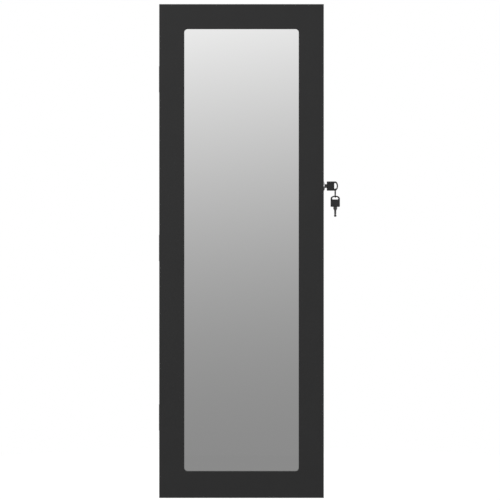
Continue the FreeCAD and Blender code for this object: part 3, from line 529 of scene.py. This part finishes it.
def taken_out(made):
    """Gives an object's mesh and drops the object."""
    bm = bmesh.new()
    bm.from_mesh(made.data)
    bpy.data.objects.remove(made)
    return bm


def carve(made, cutter):
    """Cuts one object out of another and drops the cutter."""
    cut = made.modifiers.new("cut", "BOOLEAN")
    cut.operation = "DIFFERENCE"
    cut.solver = "EXACT"
    cut.object = cutter
    settled(made)
    bpy.data.objects.remove(cutter)
    made.data.set_sharp_from_angle(angle=math.radians(SMOOTH))


def eased(made, width, angle):
    """Rounds the edges that are sharper than an angle in degrees."""
    bevel = made.modifiers.new("eased", "BEVEL")
    bevel.width = width
    bevel.segments = 2
    bevel.limit_method = "ANGLE"
    bevel.angle_limit = math.radians(angle)
    settled(made)


def stands_for(made, node, surface=None):
    """Shows the piece in the node's place, on its body, in the slot's finish or its own."""
    made.data.materials.clear()
    made.data.materials.append((surface or FINISHES[SLOTS[node]])())
    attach(made, BODIES[node])
    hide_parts(node)


def islands(node):
    """Low and high corner of each separate solid of a node."""
    bm = bmesh.new()
    bm.from_mesh(frame["nodes"][node].data)
    bmesh.ops.remove_doubles(bm, verts=bm.verts, dist=SAME_PLACE)
    left = set(bm.verts)
    found = []
    while left:
        rim = {left.pop()}
        whole = set(rim)
        while rim:
            near = {edge.other_vert(vert) for vert in rim for edge in vert.link_edges}
            rim = near - whole
            whole |= rim
        left -= whole
        low = Vector([min(vert.co[axis] for vert in whole) for axis in range(3)])
        high = Vector([max(vert.co[axis] for vert in whole) for axis in range(3)])
        found.append((low, high))
    bm.free()
    return sorted(found, key=lambda box: tuple(box[0]))


def lathe(profile, segments):
    """A closed solid of revolution about Z: profile gives (radius, height) from axis to axis."""
    bm = bmesh.new()
    verts = [bm.verts.new((radius, 0.0, height)) for radius, height in profile]
    edges = [bm.edges.new(pair) for pair in zip(verts, verts[1:])]
    bmesh.ops.spin(
        bm, geom=verts + edges, cent=(0, 0, 0), axis=(0, 0, 1),
        angle=math.tau, steps=segments, use_merge=True, use_duplicate=False,
    )
    tidy(bm)
    return bm


def turned_to(direction, place):
    """Takes +Z to a direction and the origin to a place."""
    turn = Vector((0, 0, 1)).rotation_difference(Vector(direction))
    return Matrix.Translation(place) @ turn.to_matrix().to_4x4()


def box_mesh(low, high):
    """A plain box between two corners."""
    bm = bmesh.new()
    middle = (Vector(low) + Vector(high)) / 2
    size = Vector(high) - Vector(low)
    place = Matrix.Translation(middle) @ Matrix.Diagonal((*size, 1.0))
    bmesh.ops.create_cube(bm, size=1.0, matrix=place)
    return bm


# ---- keys -----------------------------------------------------------------------------------
HEAD_CORNER = 1.2 * MM          # at the head's foot
HOLE_CORNER = 1.5 * MM
PANEL_CORNER = 1.5 * MM
CUT_EDGE = 0.12 * MM            # rounding of what is cut
BITTING = (0.45, 0.75, 0.6, 0.8)        # millimetres, from the collar
BITTING_PITCH = 2.3 * MM
BITTING_FIRST = 1.4 * MM
BITTING_FLAT = 0.3 * MM
BITTING_REACH = 0.9 * MM
COLLAR_LENGTH = 3.6 * MM
COLLAR_TAPER = 2.4 * MM
BLADE_HALF = 2.2 * MM
TIP_TAPER = 1.2 * MM
TIP_KNEE = (0.75, 0.3)          # of the blade's half width, and of the taper
GROOVE_OFFSET = 0.5 * MM        # from the middle of the blade, to the other side on each face
GROOVE_END = 0.6                # of the collar's length


def arc(centre, radius_x, radius_z, start, end, steps):
    """Points of an elliptic arc, angles in degrees from +X."""
    points = []
    for number in range(steps + 1):
        angle = math.radians(start + (end - start) * number / steps)
        points.append((centre[0] + radius_x * math.cos(angle), centre[1] + radius_z * math.sin(angle)))
    return points


class Hanging:
    """Sizes of a key that hangs from the origin by its loop, read from the spare key's solids."""

    def __init__(self):
        low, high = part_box("spare_key_head")
        blade_low, blade_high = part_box("spare_key_blade")
        self.top = Vector(((low.x + high.x) / 2, (low.y + high.y) / 2, high.z))
        self.half = (high.x - low.x) / 2
        self.thick = high.y - low.y
        self.foot = low.z - high.z
        self.tip = blade_low.z - high.z
        self.collar = (blade_high.x - blade_low.x) / 2
        self.metal = blade_high.y - blade_low.y


def head_mesh(key, shape):
    """The moulded head: half its outline, mirrored, thickened and rounded along every edge."""
    corner = HEAD_CORNER
    hole = shape.hole_width / 2
    hole_top = -shape.loop_band - shape.hole_rise
    hole_low = -shape.loop_band - shape.hole_length
    hole_corner = (hole - HOLE_CORNER, hole_low + HOLE_CORNER)
    outer = arc((0.0, -shape.loop_rise), key.half, shape.loop_rise, 90, 0, steps=14)
    outer += arc((key.half - corner, key.foot + corner), corner, corner, 0, -90, steps=5)
    outer.append((0.0, key.foot))
    inner = [(0.0, hole_low)]
    inner += arc(hole_corner, HOLE_CORNER, HOLE_CORNER, -90, 0, steps=5)
    inner += arc((0.0, hole_top), hole, shape.hole_rise, 0, 90, steps=10)
    bm = bmesh.new()
    bm.faces.new([bm.verts.new((x, -key.thick / 2, z)) for x, z in outer + inner])
    whole = bm.verts[:] + bm.edges[:] + bm.faces[:]
    bmesh.ops.mirror(bm, geom=whole, merge_dist=SAME_PLACE, axis="X")
    bmesh.ops.remove_doubles(bm, verts=bm.verts, dist=SAME_PLACE)
    rim = open_edges(bm)
    far = thickened(bm, key.thick)
    bmesh.ops.recalc_face_normals(bm, faces=bm.faces)
    far_rim = [edge for edge in far if len({abs(face.normal.y) > 0.5 for face in edge.link_faces}) == 2]
    rounded(bm, rim + far_rim, shape.edge, 4)
    tidy(bm)
    return bm


def cutting_block(side, thick, sink, across, along):
    """A block that stands out of one face of a key and reaches into it."""
    face = side * thick / 2
    depths = (face - side * sink, face + side * MM)
    return box_mesh((across[0], min(depths), along[0]), (across[1], max(depths), along[1]))


def panel_cutter(key, shape, side):
    """A rounded block over the place of one sunk panel."""
    middle = (-shape.loop_band - shape.hole_length + key.foot) / 2
    across = (-shape.panel_width / 2, shape.panel_width / 2)
    along = (middle - shape.panel_length / 2, middle + shape.panel_length / 2)
    bm = cutting_block(side, key.thick, shape.panel_sink, across, along)
    corners = [edge for edge in bm.edges if abs((edge.verts[0].co - edge.verts[1].co).normalized().y) > 0.9]
    rounded(bm, corners, PANEL_CORNER, 5)
    return as_object("panel_cutter", bm)


def make_head(prefix, key, shape, place):
    head = as_object(prefix + "key_head_moulding", head_mesh(key, shape))
    for side in (-1, 1):
        carve(head, panel_cutter(key, shape, side))
    eased(head, CUT_EDGE, angle=50.0)
    head.data.transform(place)
    stands_for(head, prefix + "key_head")


def blade_outline(key):
    """Half widths down one side, from the head's foot to the tip."""
    taper_end = key.foot - COLLAR_LENGTH - COLLAR_TAPER
    steps = [(key.collar, key.foot), (key.collar, key.foot - COLLAR_LENGTH), (BLADE_HALF, taper_end)]
    for number, cut in enumerate(BITTING):
        middle = taper_end - BITTING_FIRST - number * BITTING_PITCH
        low = BLADE_HALF - cut * MM
        steps += [(BLADE_HALF, middle + BITTING_REACH), (low, middle + BITTING_FLAT)]
        steps += [(low, middle - BITTING_FLAT), (BLADE_HALF, middle - BITTING_REACH)]
    steps.append((BLADE_HALF, key.tip + TIP_TAPER))
    steps.append((BLADE_HALF * TIP_KNEE[0], key.tip + TIP_TAPER * TIP_KNEE[1]))
    steps.append((BLADE_HALF - TIP_TAPER, key.tip))
    return steps


def make_blade(prefix, key, shape, place):
    right = blade_outline(key)
    left = [(-width, z) for width, z in reversed(right)]
    bm = bmesh.new()
    bm.faces.new([bm.verts.new((x, -key.metal / 2, z)) for x, z in right + left])
    thickened(bm, key.metal)
    tidy(bm)
    blade = as_object(prefix + "key_blade_cut", bm)
    for side in (-1, 1):
        middle = side * GROOVE_OFFSET
        across = (middle - shape.groove_width / 2, middle + shape.groove_width / 2)
        along = (key.tip - MM, key.foot - COLLAR_LENGTH * GROOVE_END)
        groove = cutting_block(side, key.metal, shape.groove_depth, across, along)
        carve(blade, as_object("groove_cutter", groove))
    eased(blade, CUT_EDGE, angle=25.0)
    blade.data.transform(place)
    stands_for(blade, prefix + "key_blade")


def key_places(key):
    """Where the locked key and the spare key are: one lies level in the lock, one hangs."""
    low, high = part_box("key_head")
    locked = Vector((high.x, (low.y + high.y) / 2, (low.z + high.z) / 2))
    return {
        "": Matrix.Translation(locked) @ Matrix.Rotation(math.radians(90), 4, "Y"),
        "spare_": Matrix.Translation(key.top),
    }


class CABINET_OT_key_heads(bpy.types.Operator):
    """Makes the moulded heads of the key in the lock and of the spare key"""

    bl_idname = "cabinet.key_heads"
    bl_label = "Key heads"

    def execute(self, context):
        key = Hanging()
        for prefix, place in key_places(key).items():
            make_head(prefix, key, context.scene.key_shape, place)
        return {"FINISHED"}


class CABINET_OT_key_blades(bpy.types.Operator):
    """Makes the cut and grooved blades of both keys"""

    bl_idname = "cabinet.key_blades"
    bl_label = "Key blades"

    def execute(self, context):
        key = Hanging()
        for prefix, place in key_places(key).items():
            make_blade(prefix, key, context.scene.key_shape, place)
        return {"FINISHED"}


RING_FLAT = 0.6 * MM            # half thickness of the ring's wire, from its middle outwards
RING_TURN = (340, 68)           # degrees and steps of one turn
RING_JOG = (40, 10)             # degrees and steps of the crossing between the turns
RING_START = 110                # degrees, where the turns begin and end


class CABINET_OT_key_ring(bpy.types.Operator):
    """Winds the split ring: two flat turns with a jog where the wire crosses over"""

    bl_idname = "cabinet.key_ring"
    bl_label = "Key ring"

    def execute(self, context):
        low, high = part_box("key_ring")
        middle = (low + high) / 2
        wire = (high.x - low.x) / 2
        outer = (high.z - low.z) / 2
        bm = bmesh.new()
        start = bmesh.ops.create_circle(bm, cap_ends=False, radius=1.0, segments=12)["verts"]
        flat = Matrix.Rotation(math.radians(90), 4, "X") @ Matrix.Diagonal((wire / 2, RING_FLAT, 1.0, 1.0))
        first = Matrix.Translation((-wire / 2, 0.0, outer - RING_FLAT)) @ flat
        bmesh.ops.transform(bm, matrix=first, verts=start)
        ring = start + bm.edges[:]
        for (degrees, steps), shift in ((RING_TURN, 0.0), (RING_JOG, wire), (RING_TURN, 0.0)):
            ring = bmesh.ops.spin(
                bm, geom=ring, cent=(0, 0, 0), axis=(1, 0, 0), dvec=(shift / steps, 0, 0),
                angle=math.radians(degrees), steps=steps, use_merge=False, use_duplicate=False,
            )["geom_last"]
        bmesh.ops.holes_fill(bm, edges=open_edges(bm), sides=0)
        tidy(bm)
        turn = Matrix.Rotation(math.radians(RING_START), 3, "X")
        bmesh.ops.rotate(bm, verts=bm.verts, cent=(0, 0, 0), matrix=turn)
        bmesh.ops.translate(bm, verts=bm.verts, vec=middle)
        stands_for(as_object("split_ring", bm, smooth=50.0), "key_ring", ring_steel_painted_dark)
        return {"FINISHED"}


# ---- lock -----------------------------------------------------------------------------------
LOCK_PLAY = 0.05 * MM           # round the plug
BARREL_RADIUS = 8.0 * MM
BARREL_ROOT = BARREL_RADIUS - 0.5 * MM
BARREL_PITCH = 1.0 * MM
THREAD_FLANK = 0.45             # of the pitch, between a thread's crest and its root
FIRST_CREST = 0.8               # of the pitch, behind the flange
BARREL_CHAMFER = (0.3 * MM, 0.2 * MM)
FLANGE_RIM = 1.3 * MM           # height at which the flange's dome ends
FLANGE_FLAT = 6.1 * MM          # radius of the flange's flat face
FLANGE_UNDERCUT = 0.15 * MM
DOME_STEPS = 8


class CABINET_OT_lock_housing(bpy.types.Operator):
    """Turns the lock's domed flange and threaded barrel"""

    bl_idname = "cabinet.lock_housing"
    bl_label = "Lock housing"

    def execute(self, context):
        low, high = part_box("lock_housing")
        plug_low, plug_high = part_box("lock_plug")
        case_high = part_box("case_side_right")[1]
        flange = (high.z - low.z) / 2
        bore = (plug_high.z - plug_low.z) / 2 + LOCK_PLAY
        axis = Vector((case_high.x, (low.y + high.y) / 2, (low.z + high.z) / 2))
        proud = high.x - case_high.x
        inside = case_high.x - low.x
        profile = [(bore, proud), (FLANGE_FLAT, proud)]
        for number in range(1, DOME_STEPS + 1):
            angle = math.radians(90 * number / DOME_STEPS)
            radius = FLANGE_FLAT + (flange - FLANGE_FLAT) * math.sin(angle)
            profile.append((radius, FLANGE_RIM + (proud - FLANGE_RIM) * math.cos(angle)))
        profile += [(flange, FLANGE_UNDERCUT), (flange - FLANGE_UNDERCUT, 0.0), (BARREL_RADIUS, 0.0)]
        for number in range(int(inside / BARREL_PITCH) - 1):
            height = -(number + FIRST_CREST) * BARREL_PITCH
            profile += [(BARREL_RADIUS, height), (BARREL_ROOT, height - THREAD_FLANK * BARREL_PITCH)]
        profile.append((BARREL_RADIUS - BARREL_CHAMFER[0], -inside + BARREL_CHAMFER[1]))
        profile += [(BARREL_ROOT, -inside), (bore, -inside), (bore, proud)]
        bm = lathe(profile, segments=72)
        bmesh.ops.transform(bm, matrix=turned_to((1, 0, 0), axis), verts=bm.verts)
        stands_for(as_object("lock_flange_and_barrel", bm, smooth=28.0), "lock_housing")
        return {"FINISHED"}


# ---- hooks, screws and pads -----------------------------------------------------------------
HOOK_WIRE = 1.2 * MM            # radius
HOOK_BEAD = 1.85 * MM           # radius
HOOK_BEND = 3.0 * MM            # radius of the wire's middle


def drawn_out(bm, edges, way):
    """Lengthens a tube from its open end, and gives the corners and edges of its new end."""
    moved = bmesh.ops.extrude_edge_only(bm, edges=edges)["geom"]
    bmesh.ops.translate(bm, verts=verts_in(moved), vec=way)
    return verts_in(moved) + [edge for edge in edges_in(moved) if edge.is_boundary]


def hook_mesh(low, high):
    """One bent hook with a round bead, between the corners of its solid."""
    middle = (low.x + high.x) / 2
    level = low.z + HOOK_WIRE
    front = low.y + HOOK_BEAD
    top = high.z - HOOK_BEAD
    bm = bmesh.new()
    place = Matrix.Translation((middle, high.y, level)) @ Matrix.Rotation(math.radians(90), 4, "X")
    bmesh.ops.create_circle(bm, cap_ends=True, radius=HOOK_WIRE, segments=16, matrix=place)
    end = drawn_out(bm, bm.edges[:], (0, front + HOOK_BEND - high.y, 0))
    end = bmesh.ops.spin(
        bm, geom=end, cent=(middle, front + HOOK_BEND, level + HOOK_BEND), axis=(1, 0, 0),
        angle=math.radians(-90), steps=8, use_merge=False, use_duplicate=False,
    )["geom_last"]
    drawn_out(bm, edges_in(end), (0, 0, top - level - HOOK_BEND))
    bmesh.ops.holes_fill(bm, edges=open_edges(bm), sides=0)
    bead = Matrix.Translation((middle, front, top))
    bmesh.ops.create_uvsphere(bm, u_segments=20, v_segments=12, radius=HOOK_BEAD, matrix=bead)
    bmesh.ops.recalc_face_normals(bm, faces=bm.faces)
    return bm


class CABINET_OT_hooks(bpy.types.Operator):
    """Bends the row of necklace hooks"""

    bl_idname = "cabinet.hooks"
    bl_label = "Necklace hooks"

    def execute(self, context):
        hooks = [hook_mesh(low, high) for low, high in islands("necklace_hooks")]
        stands_for(joined("bent_necklace_hooks", hooks, smooth=40.0), "necklace_hooks")
        return {"FINISHED"}


# which way each screw points, by the middle of its solid
SCREW_NODES = {
    "keyhole_screws": lambda middle: Vector((0, -1, 0)),
    "hook_rail_screws": lambda middle: Vector((0, 1, 0)),
    "hinge_screws_case": lambda middle: Vector((0, 1, 0)),
    "hinge_screws_door": lambda middle: Vector((0, -1, 0)),
    "keeper_screws": lambda middle: Vector((0, -1, 0)),
    "earring_bar_screws": lambda middle: Vector((math.copysign(1, middle.x), 0, 0)),
}


SCREW_HEAD = 2.3 * MM           # radius
SCREW_RIM = (0.1 * MM, 0.08 * MM)       # chamfer of the head, across and along
SCREW_SINK = 0.8 * MM           # height of the countersunk head
SCREW_SHANK = 1.4 * MM          # radius over the thread
SCREW_NECK = (0.1 * MM, 1.0 * MM)       # waist under the head, across and along
SCREW_PITCH = 0.9 * MM
SCREW_THREAD = (0.35 * MM, 1.4 * MM)    # depth, and start behind the head
SCREW_BARE = 2.5 * MM           # without a thread, at both ends together
SCREW_POINT = (0.4 * MM, 1.2 * MM)      # taper of the tip, across and along
RECESS = Vector((1.3, 0.26, 0.5)) * MM  # half length, half width and depth of the cross
RECESS_TAPER = (0.45, 0.7, 1.0)
SCREW_TURN = 37                 # degrees from one screw to the next
SCREW_FIRST_TURN = 11


def screw_template(length):
    """A countersunk screw along +Z from its head's face, with a cross recess."""
    profile = [(0.0, 0.0), (SCREW_HEAD - SCREW_RIM[0], 0.0), (SCREW_HEAD, SCREW_RIM[1])]
    profile += [(SCREW_SHANK, SCREW_SINK), (SCREW_SHANK - SCREW_NECK[0], SCREW_SINK + SCREW_NECK[1])]
    for number in range(int((length - SCREW_SINK - SCREW_BARE) / SCREW_PITCH)):
        height = SCREW_SINK + SCREW_THREAD[1] + number * SCREW_PITCH
        profile.append((SCREW_SHANK - SCREW_THREAD[0], height))
        profile.append((SCREW_SHANK, height + THREAD_FLANK * SCREW_PITCH))
    profile += [(SCREW_SHANK - SCREW_POINT[0], length - SCREW_POINT[1]), (0.0, length)]
    screw = as_object("screw_template", lathe(profile, segments=20))
    for turn in (0, 90):
        blade = box_mesh((-RECESS.x, -RECESS.y, -MM), RECESS)
        bottom = [vert for vert in blade.verts if vert.co.z > 0]
        bmesh.ops.scale(blade, verts=bottom, vec=RECESS_TAPER)
        across = Matrix.Rotation(math.radians(turn), 3, "Z")
        bmesh.ops.rotate(blade, verts=blade.verts, cent=(0, 0, 0), matrix=across)
        carve(screw, as_object("recess_cutter", blade))
    return screw


class CABINET_OT_screws(bpy.types.Operator):
    """Makes every group of screws, each screw turned a little differently"""

    bl_idname = "cabinet.screws"
    bl_label = "Screws"

    def execute(self, context):
        for node, axis_of in SCREW_NODES.items():
            meshes = []
            template = None
            for number, (low, high) in enumerate(islands(node)):
                middle = (low + high) / 2
                axis = axis_of(middle)
                reach = abs((high - low).dot(axis))
                template = template or screw_template(reach)
                spin = Matrix.Rotation(math.radians(SCREW_TURN * number + SCREW_FIRST_TURN), 4, "Z")
                place = turned_to(axis, middle - axis * reach / 2)
                bm = bmesh.new()
                bm.from_mesh(template.data)
                bmesh.ops.transform(bm, matrix=place @ spin, verts=bm.verts)
                meshes.append(bm)
            bpy.data.objects.remove(template)
            stands_for(joined("crosshead_" + node, meshes), node)
        return {"FINISHED"}


PAD_EDGE = (0.1 * MM, 0.15 * MM)        # chamfer at the back, across and along
PAD_SIDE = 0.4                  # of the thickness, where the dome begins
PAD_ANGLES = (20, 40, 60, 75)   # degrees up the dome


class CABINET_OT_bumpers(bpy.types.Operator):
    """Domes the two rubber pads that stop the door"""

    bl_idname = "cabinet.bumpers"
    bl_label = "Bumper pads"

    def execute(self, context):
        meshes = []
        for low, high in islands("bumper_pads"):
            radius = (high.x - low.x) / 2
            thick = high.y - low.y
            profile = [(0.0, 0.0), (radius - PAD_EDGE[0], 0.0), (radius, PAD_EDGE[1])]
            profile.append((radius, thick * PAD_SIDE))
            for angle in map(math.radians, PAD_ANGLES):
                rise = PAD_SIDE + (1.0 - PAD_SIDE) * math.sin(angle)
                profile.append((radius * math.cos(angle), thick * rise))
            profile.append((0.0, thick))
            bm = lathe(profile, segments=40)
            back = Vector(((low.x + high.x) / 2, high.y, (low.z + high.z) / 2))
            bmesh.ops.transform(bm, matrix=turned_to((0, -1, 0), back), verts=bm.verts)
            meshes.append(bm)
        stands_for(joined("domed_bumper_pads", meshes), "bumper_pads")
        return {"FINISHED"}


# ---- ring cushion ---------------------------------------------------------------------------
CUSHION_ROLLS = 7
CUSHION_DEPTH = 19.0 * MM       # from the rolls' fronts to their backs in the base
CUSHION_SLACK = 1.0 * MM        # room in which the cloth swells
BASE_LAP = 2.0 * MM             # of the base over the rolls' backs
BASE_EDGE = 1.2 * MM
ROLL_CROWN = 5.0 * MM           # rounding of a roll's front
ROLL_CUTS = 24                  # along half a roll
ROLL_WAVE = 0.5 * MM            # unevenness of a roll's front
ROLL_WAVES = 55.0               # how close the waves follow each other, per metre
ROLL_STEP = 3.7                 # sets each roll's waves apart
ROLL_VOXEL = 3.0 * MM           # size of the cloth's faces
SWELL_FRAMES = 8
SWELL_QUALITY = 4
SWELL_PRESSURE = 6.0
SWELL_CAP = 0.8 * MM            # furthest that a point of the cloth may move


def roll_mesh(low, high, number):
    """One roll before it is filled: a bar with a round front, a little uneven along its length."""
    middle = (low + high) / 2
    bm = box_mesh(low, high)
    front = [edge for edge in bm.edges if all(vert.co.y < middle.y for vert in edge.verts)]
    rounded(bm, front, ROLL_CROWN, 5)
    whole = bm.verts[:] + bm.edges[:] + bm.faces[:]
    bmesh.ops.bisect_plane(bm, geom=whole, plane_co=middle, plane_no=(1, 0, 0))
    short = (high.x - low.x) / 4
    long = [edge for edge in bm.edges if abs(edge.verts[0].co.x - edge.verts[1].co.x) > short]
    bmesh.ops.subdivide_edges(bm, edges=long, cuts=ROLL_CUTS, use_grid_fill=True)
    for vert in bm.verts:
        wave = noise.noise(Vector((vert.co.x * ROLL_WAVES, number * ROLL_STEP, 0.0)))
        vert.co.y += ROLL_WAVE * wave * (vert.co.y < middle.y)
    return bm


def evenly_meshed(bm):
    """The same closed form in small even faces, which cloth needs."""
    made = as_object("cloth_blank", bm)
    remesh = made.modifiers.new("even", "REMESH")
    remesh.mode = "VOXEL"
    remesh.voxel_size = ROLL_VOXEL
    return taken_out(settled(made))


def filled(made):
    """Swells a closed cloth a little, as its wadding does, and smooths it."""
    before = [vert.co.copy() for vert in made.data.vertices]
    cloth = made.modifiers.new("wadding", "CLOTH")
    cloth.settings.use_pressure = True
    cloth.settings.uniform_pressure_force = SWELL_PRESSURE
    cloth.settings.effector_weights.gravity = 0.0
    cloth.settings.quality = SWELL_QUALITY
    scene = bpy.context.scene
    for number in range(1, SWELL_FRAMES + 1):
        scene.frame_set(number)
    settled(made)
    scene.frame_set(1)
    for vert, was in zip(made.data.vertices, before):
        step = vert.co - was
        if step.length > SWELL_CAP:
            vert.co = was + step.normalized() * SWELL_CAP
    soft = made.modifiers.new("soft", "SUBSURF")
    soft.levels = 1
    soft.render_levels = 1
    return settled(made)


class CABINET_OT_ring_cushion(bpy.types.Operator):
    """Makes the padded velvet cushion with its slots for rings"""

    bl_idname = "cabinet.ring_cushion"
    bl_label = "Ring cushion"

    def execute(self, context):
        low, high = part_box("ring_cushion")
        pitch = (high.z - low.z) / CUSHION_ROLLS
        slack = Vector((CUSHION_SLACK, CUSHION_SLACK, CUSHION_SLACK))
        rolls = []
        for number in range(CUSHION_ROLLS):
            bottom = low.z + number * pitch
            roll_low = Vector((low.x, low.y, bottom)) + slack
            roll_high = Vector((high.x, low.y + CUSHION_DEPTH, bottom + pitch)) - slack
            rolls.append(evenly_meshed(roll_mesh(roll_low, roll_high, number)))
        cushion = filled(joined("filled_rolls", rolls, smooth=180.0))
        base = box_mesh((low.x, low.y + CUSHION_DEPTH - BASE_LAP, low.z), high)
        rounded(base, base.edges[:], BASE_EDGE, 3)
        cushion = joined("velvet_ring_cushion", [taken_out(cushion), base], smooth=60.0)
        stands_for(cushion, "ring_cushion")
        return {"FINISHED"}


# ---- the construction's own pieces ----------------------------------------------------------
class CABINET_OT_finishes(bpy.types.Operator):
    """Gives every piece of the construction the finish of its material"""

    bl_idname = "cabinet.finishes"
    bl_label = "Finishes"

    def execute(self, context):
        for node, made in frame["nodes"].items():
            made.data.materials.clear()
            made.data.materials.append(FINISHES[SLOTS[node]]())
        return {"FINISHED"}


# ---- stage ----------------------------------------------------------------------------------
WHITE = (1.0, 1.0, 1.0, 1.0)
PALE = 0.81
FLOOR_LIFT = 0.5            # added to the floor for the camera, so that it is white but for the shadow
MIRRORED_LEVEL = 0.446      # what shines sees this at its own height
MIRRORED_RISE = 1.67        # brighter upwards, by the sine of the height
MIRRORED_CURVE = 4.24
MIRRORED_LEFT = 0.45        # brighter to the left
MIRRORED_ASIDE = 0.3        # as far as that goes, by the sine of the angle
MIRRORED_ALOFT = (3.0, 0.5)     # the slope and level with which it sets in over the height
MIRRORED_LOW = 0.281        # far along the floor
# painted shade: what mirrors see of the floor right under the cabinet
PAINTED_SHADE_NEAR = 0.10        # the floor under the cabinet
MIRRORED_REACH = 0.85       # of the floor's reach, where it has the far level
LOWEST_RISE = -0.197        # where the curve has come down to the low level
KEY_PLACE = (-1.5, -2.1, 1.2)   # the lamps face the cabinet's middle
KEY_SIZE = 1.4
FILL_PLACE = (2.2, -1.6, 0.3)
FILL_SIZE = 1.6
SENSOR = 36.0               # millimetres


def world_light(ambient):
    """White to the camera, soft grey to the surfaces, and brighter upwards in what shines."""
    world = bpy.data.worlds.new("studio")
    bpy.context.scene.world = world
    tree = Tree(world)
    direction = tree.node("TexCoord", out=0)
    rise = tree.node("SeparateXYZ", None, direction, out=2)
    right = tree.node("SeparateXYZ", None, direction, out=0)
    left = tree.node("Clamp", None, right, -MIRRORED_ASIDE, MIRRORED_ASIDE) * -MIRRORED_LEFT
    curved = rise * rise * MIRRORED_CURVE + rise * MIRRORED_RISE + MIRRORED_LEVEL
    aloft = tree.node("Clamp", None, rise * MIRRORED_ALOFT[0] + MIRRORED_ALOFT[1], 0.0, 1.0)
    above = rise > LOWEST_RISE
    upper = tree.node("Clamp", None, curved + left * aloft, MIRRORED_LOW, 1.0)
    shine = above * upper + (1.0 - above) * MIRRORED_LOW
    camera = tree.node("LightPath", out=0)
    glossy = tree.node("LightPath", out=3)
    clear = tree.node("LightPath", out=6)
    seen = tree.node("Math", {"operation": "MAXIMUM"}, glossy, clear)
    level = camera + (1.0 - camera) * (seen * shine + (1.0 - seen) * ambient)
    tree.node("OutputWorld", None, tree.node("Background", None, WHITE, level))


def floor_material(reach):
    """Pale and matt; lifted to white for the camera, and in what mirrors it darker towards its middle, a
    painted shade under the cabinet.
    """
    found = bpy.data.materials.new("pale_floor")
    tree = Tree(found)
    grain = tree.noise(scale=60.0, detail=3.0)
    tone = tree.mix(grain, (PALE - 0.01,) * 3, (PALE + 0.01,) * 3)
    body = tree.node("BsdfDiffuse", None, tone)
    camera = tree.node("LightPath", out=0)
    lift = tree.node("Emission", None, WHITE, camera * FLOOR_LIFT)
    lit = tree.node("AddShader", None, body, lift)
    glossy = tree.node("LightPath", out=3)
    away = tree.node("VectorMath", {"operation": "LENGTH"}, tree.place((1.0, 1.0, 0.0)))
    far = reach * MIRRORED_REACH
    # painted shade: what mirrors see of the floor grows darker towards the middle, under the cabinet
    painted_shade_ramp = tree.node("MapRange", None, away, 0.0, far, PAINTED_SHADE_NEAR, MIRRORED_LOW)
    mirrored = tree.node("Emission", None, WHITE, painted_shade_ramp)
    tree.node("OutputMaterial", None, tree.node("MixShader", None, glossy, lit, mirrored))
    return found


def soft_lamp(name, place, size, power):
    """A round lamp that faces the cabinet."""
    data = bpy.data.lights.new(name, "AREA")
    data.shape = "DISK"
    data.size = size
    data.energy = power
    lamp = bpy.data.objects.new(name, data)
    lamp.location = place
    lamp.rotation_mode = "QUATERNION"
    lamp.rotation_quaternion = (-Vector(place)).to_track_quat("-Z", "Y")
    bpy.context.scene.collection.objects.link(lamp)


class CABINET_OT_stage(bpy.types.Operator):
    """Sets up the pale floor, the soft light and the camera"""

    bl_idname = "cabinet.stage"
    bl_label = "Stage"

    def execute(self, context):
        settings = context.scene.cabinet_stage
        context.scene.view_settings.view_transform = "Standard"
        bm = bmesh.new()
        level = CONSTRUCTION_BOX[0].z - settings.floor_drop
        place = Matrix.Translation((0, 0, level))
        bmesh.ops.create_circle(bm, cap_ends=True, radius=settings.floor_radius, segments=96, matrix=place)
        floor = as_object("studio_floor", bm)
        floor.data.materials.append(floor_material(settings.floor_radius))
        world_light(settings.ambient)
        soft_lamp("key_light", KEY_PLACE, KEY_SIZE, settings.key_power)
        soft_lamp("fill_light", FILL_PLACE, FILL_SIZE, settings.fill_power)
        data = bpy.data.cameras.new("camera")
        data.sensor_width = SENSOR
        data.lens = settings.lens
        camera = bpy.data.objects.new("camera", data)
        camera.location = settings.camera_place
        camera.rotation_euler = (math.radians(90), 0.0, 0.0)
        context.scene.collection.objects.link(camera)
        context.scene.camera = camera
        return {"FINISHED"}


# ---- add-on ---------------------------------------------------------------------------------
STEPS = (
    CABINET_OT_stage,
    CABINET_OT_finishes,
    CABINET_OT_key_heads,
    CABINET_OT_key_blades,
    CABINET_OT_key_ring,
    CABINET_OT_lock_housing,
    CABINET_OT_hooks,
    CABINET_OT_screws,
    CABINET_OT_bumpers,
    CABINET_OT_ring_cushion,
)


class CABINET_PT_sidebar(bpy.types.Panel):
    """Lists the cabinet's settings and steps"""

    bl_idname = "CABINET_PT_sidebar"
    bl_label = "Jewelry mirror cabinet"
    bl_space_type = "VIEW_3D"
    bl_region_type = "UI"
    bl_category = "Cabinet"

    def draw(self, context):
        layout = self.layout
        for group in (context.scene.cabinet_finish, context.scene.key_shape, context.scene.cabinet_stage):
            for name in group.__annotations__:
                layout.prop(group, name)
        for step in STEPS:
            layout.operator(step.bl_idname)


GROUPS = {"cabinet_finish": CabinetFinish, "key_shape": KeyShape, "cabinet_stage": StageSettings}


def register():
    for name, group in GROUPS.items():
        bpy.utils.register_class(group)
        setattr(bpy.types.Scene, name, bpy.props.PointerProperty(type=group))
    for step in STEPS:
        bpy.utils.register_class(step)
    bpy.utils.register_class(CABINET_PT_sidebar)


def unregister():
    bpy.utils.unregister_class(CABINET_PT_sidebar)
    for step in reversed(STEPS):
        bpy.utils.unregister_class(step)
    for name, group in GROUPS.items():
        delattr(bpy.types.Scene, name)
        bpy.utils.unregister_class(group)


def main():
    register()
    for step in STEPS:
        family, action = step.bl_idname.split(".")
        getattr(getattr(bpy.ops, family), action)()


if __name__ == "__main__":
    main()
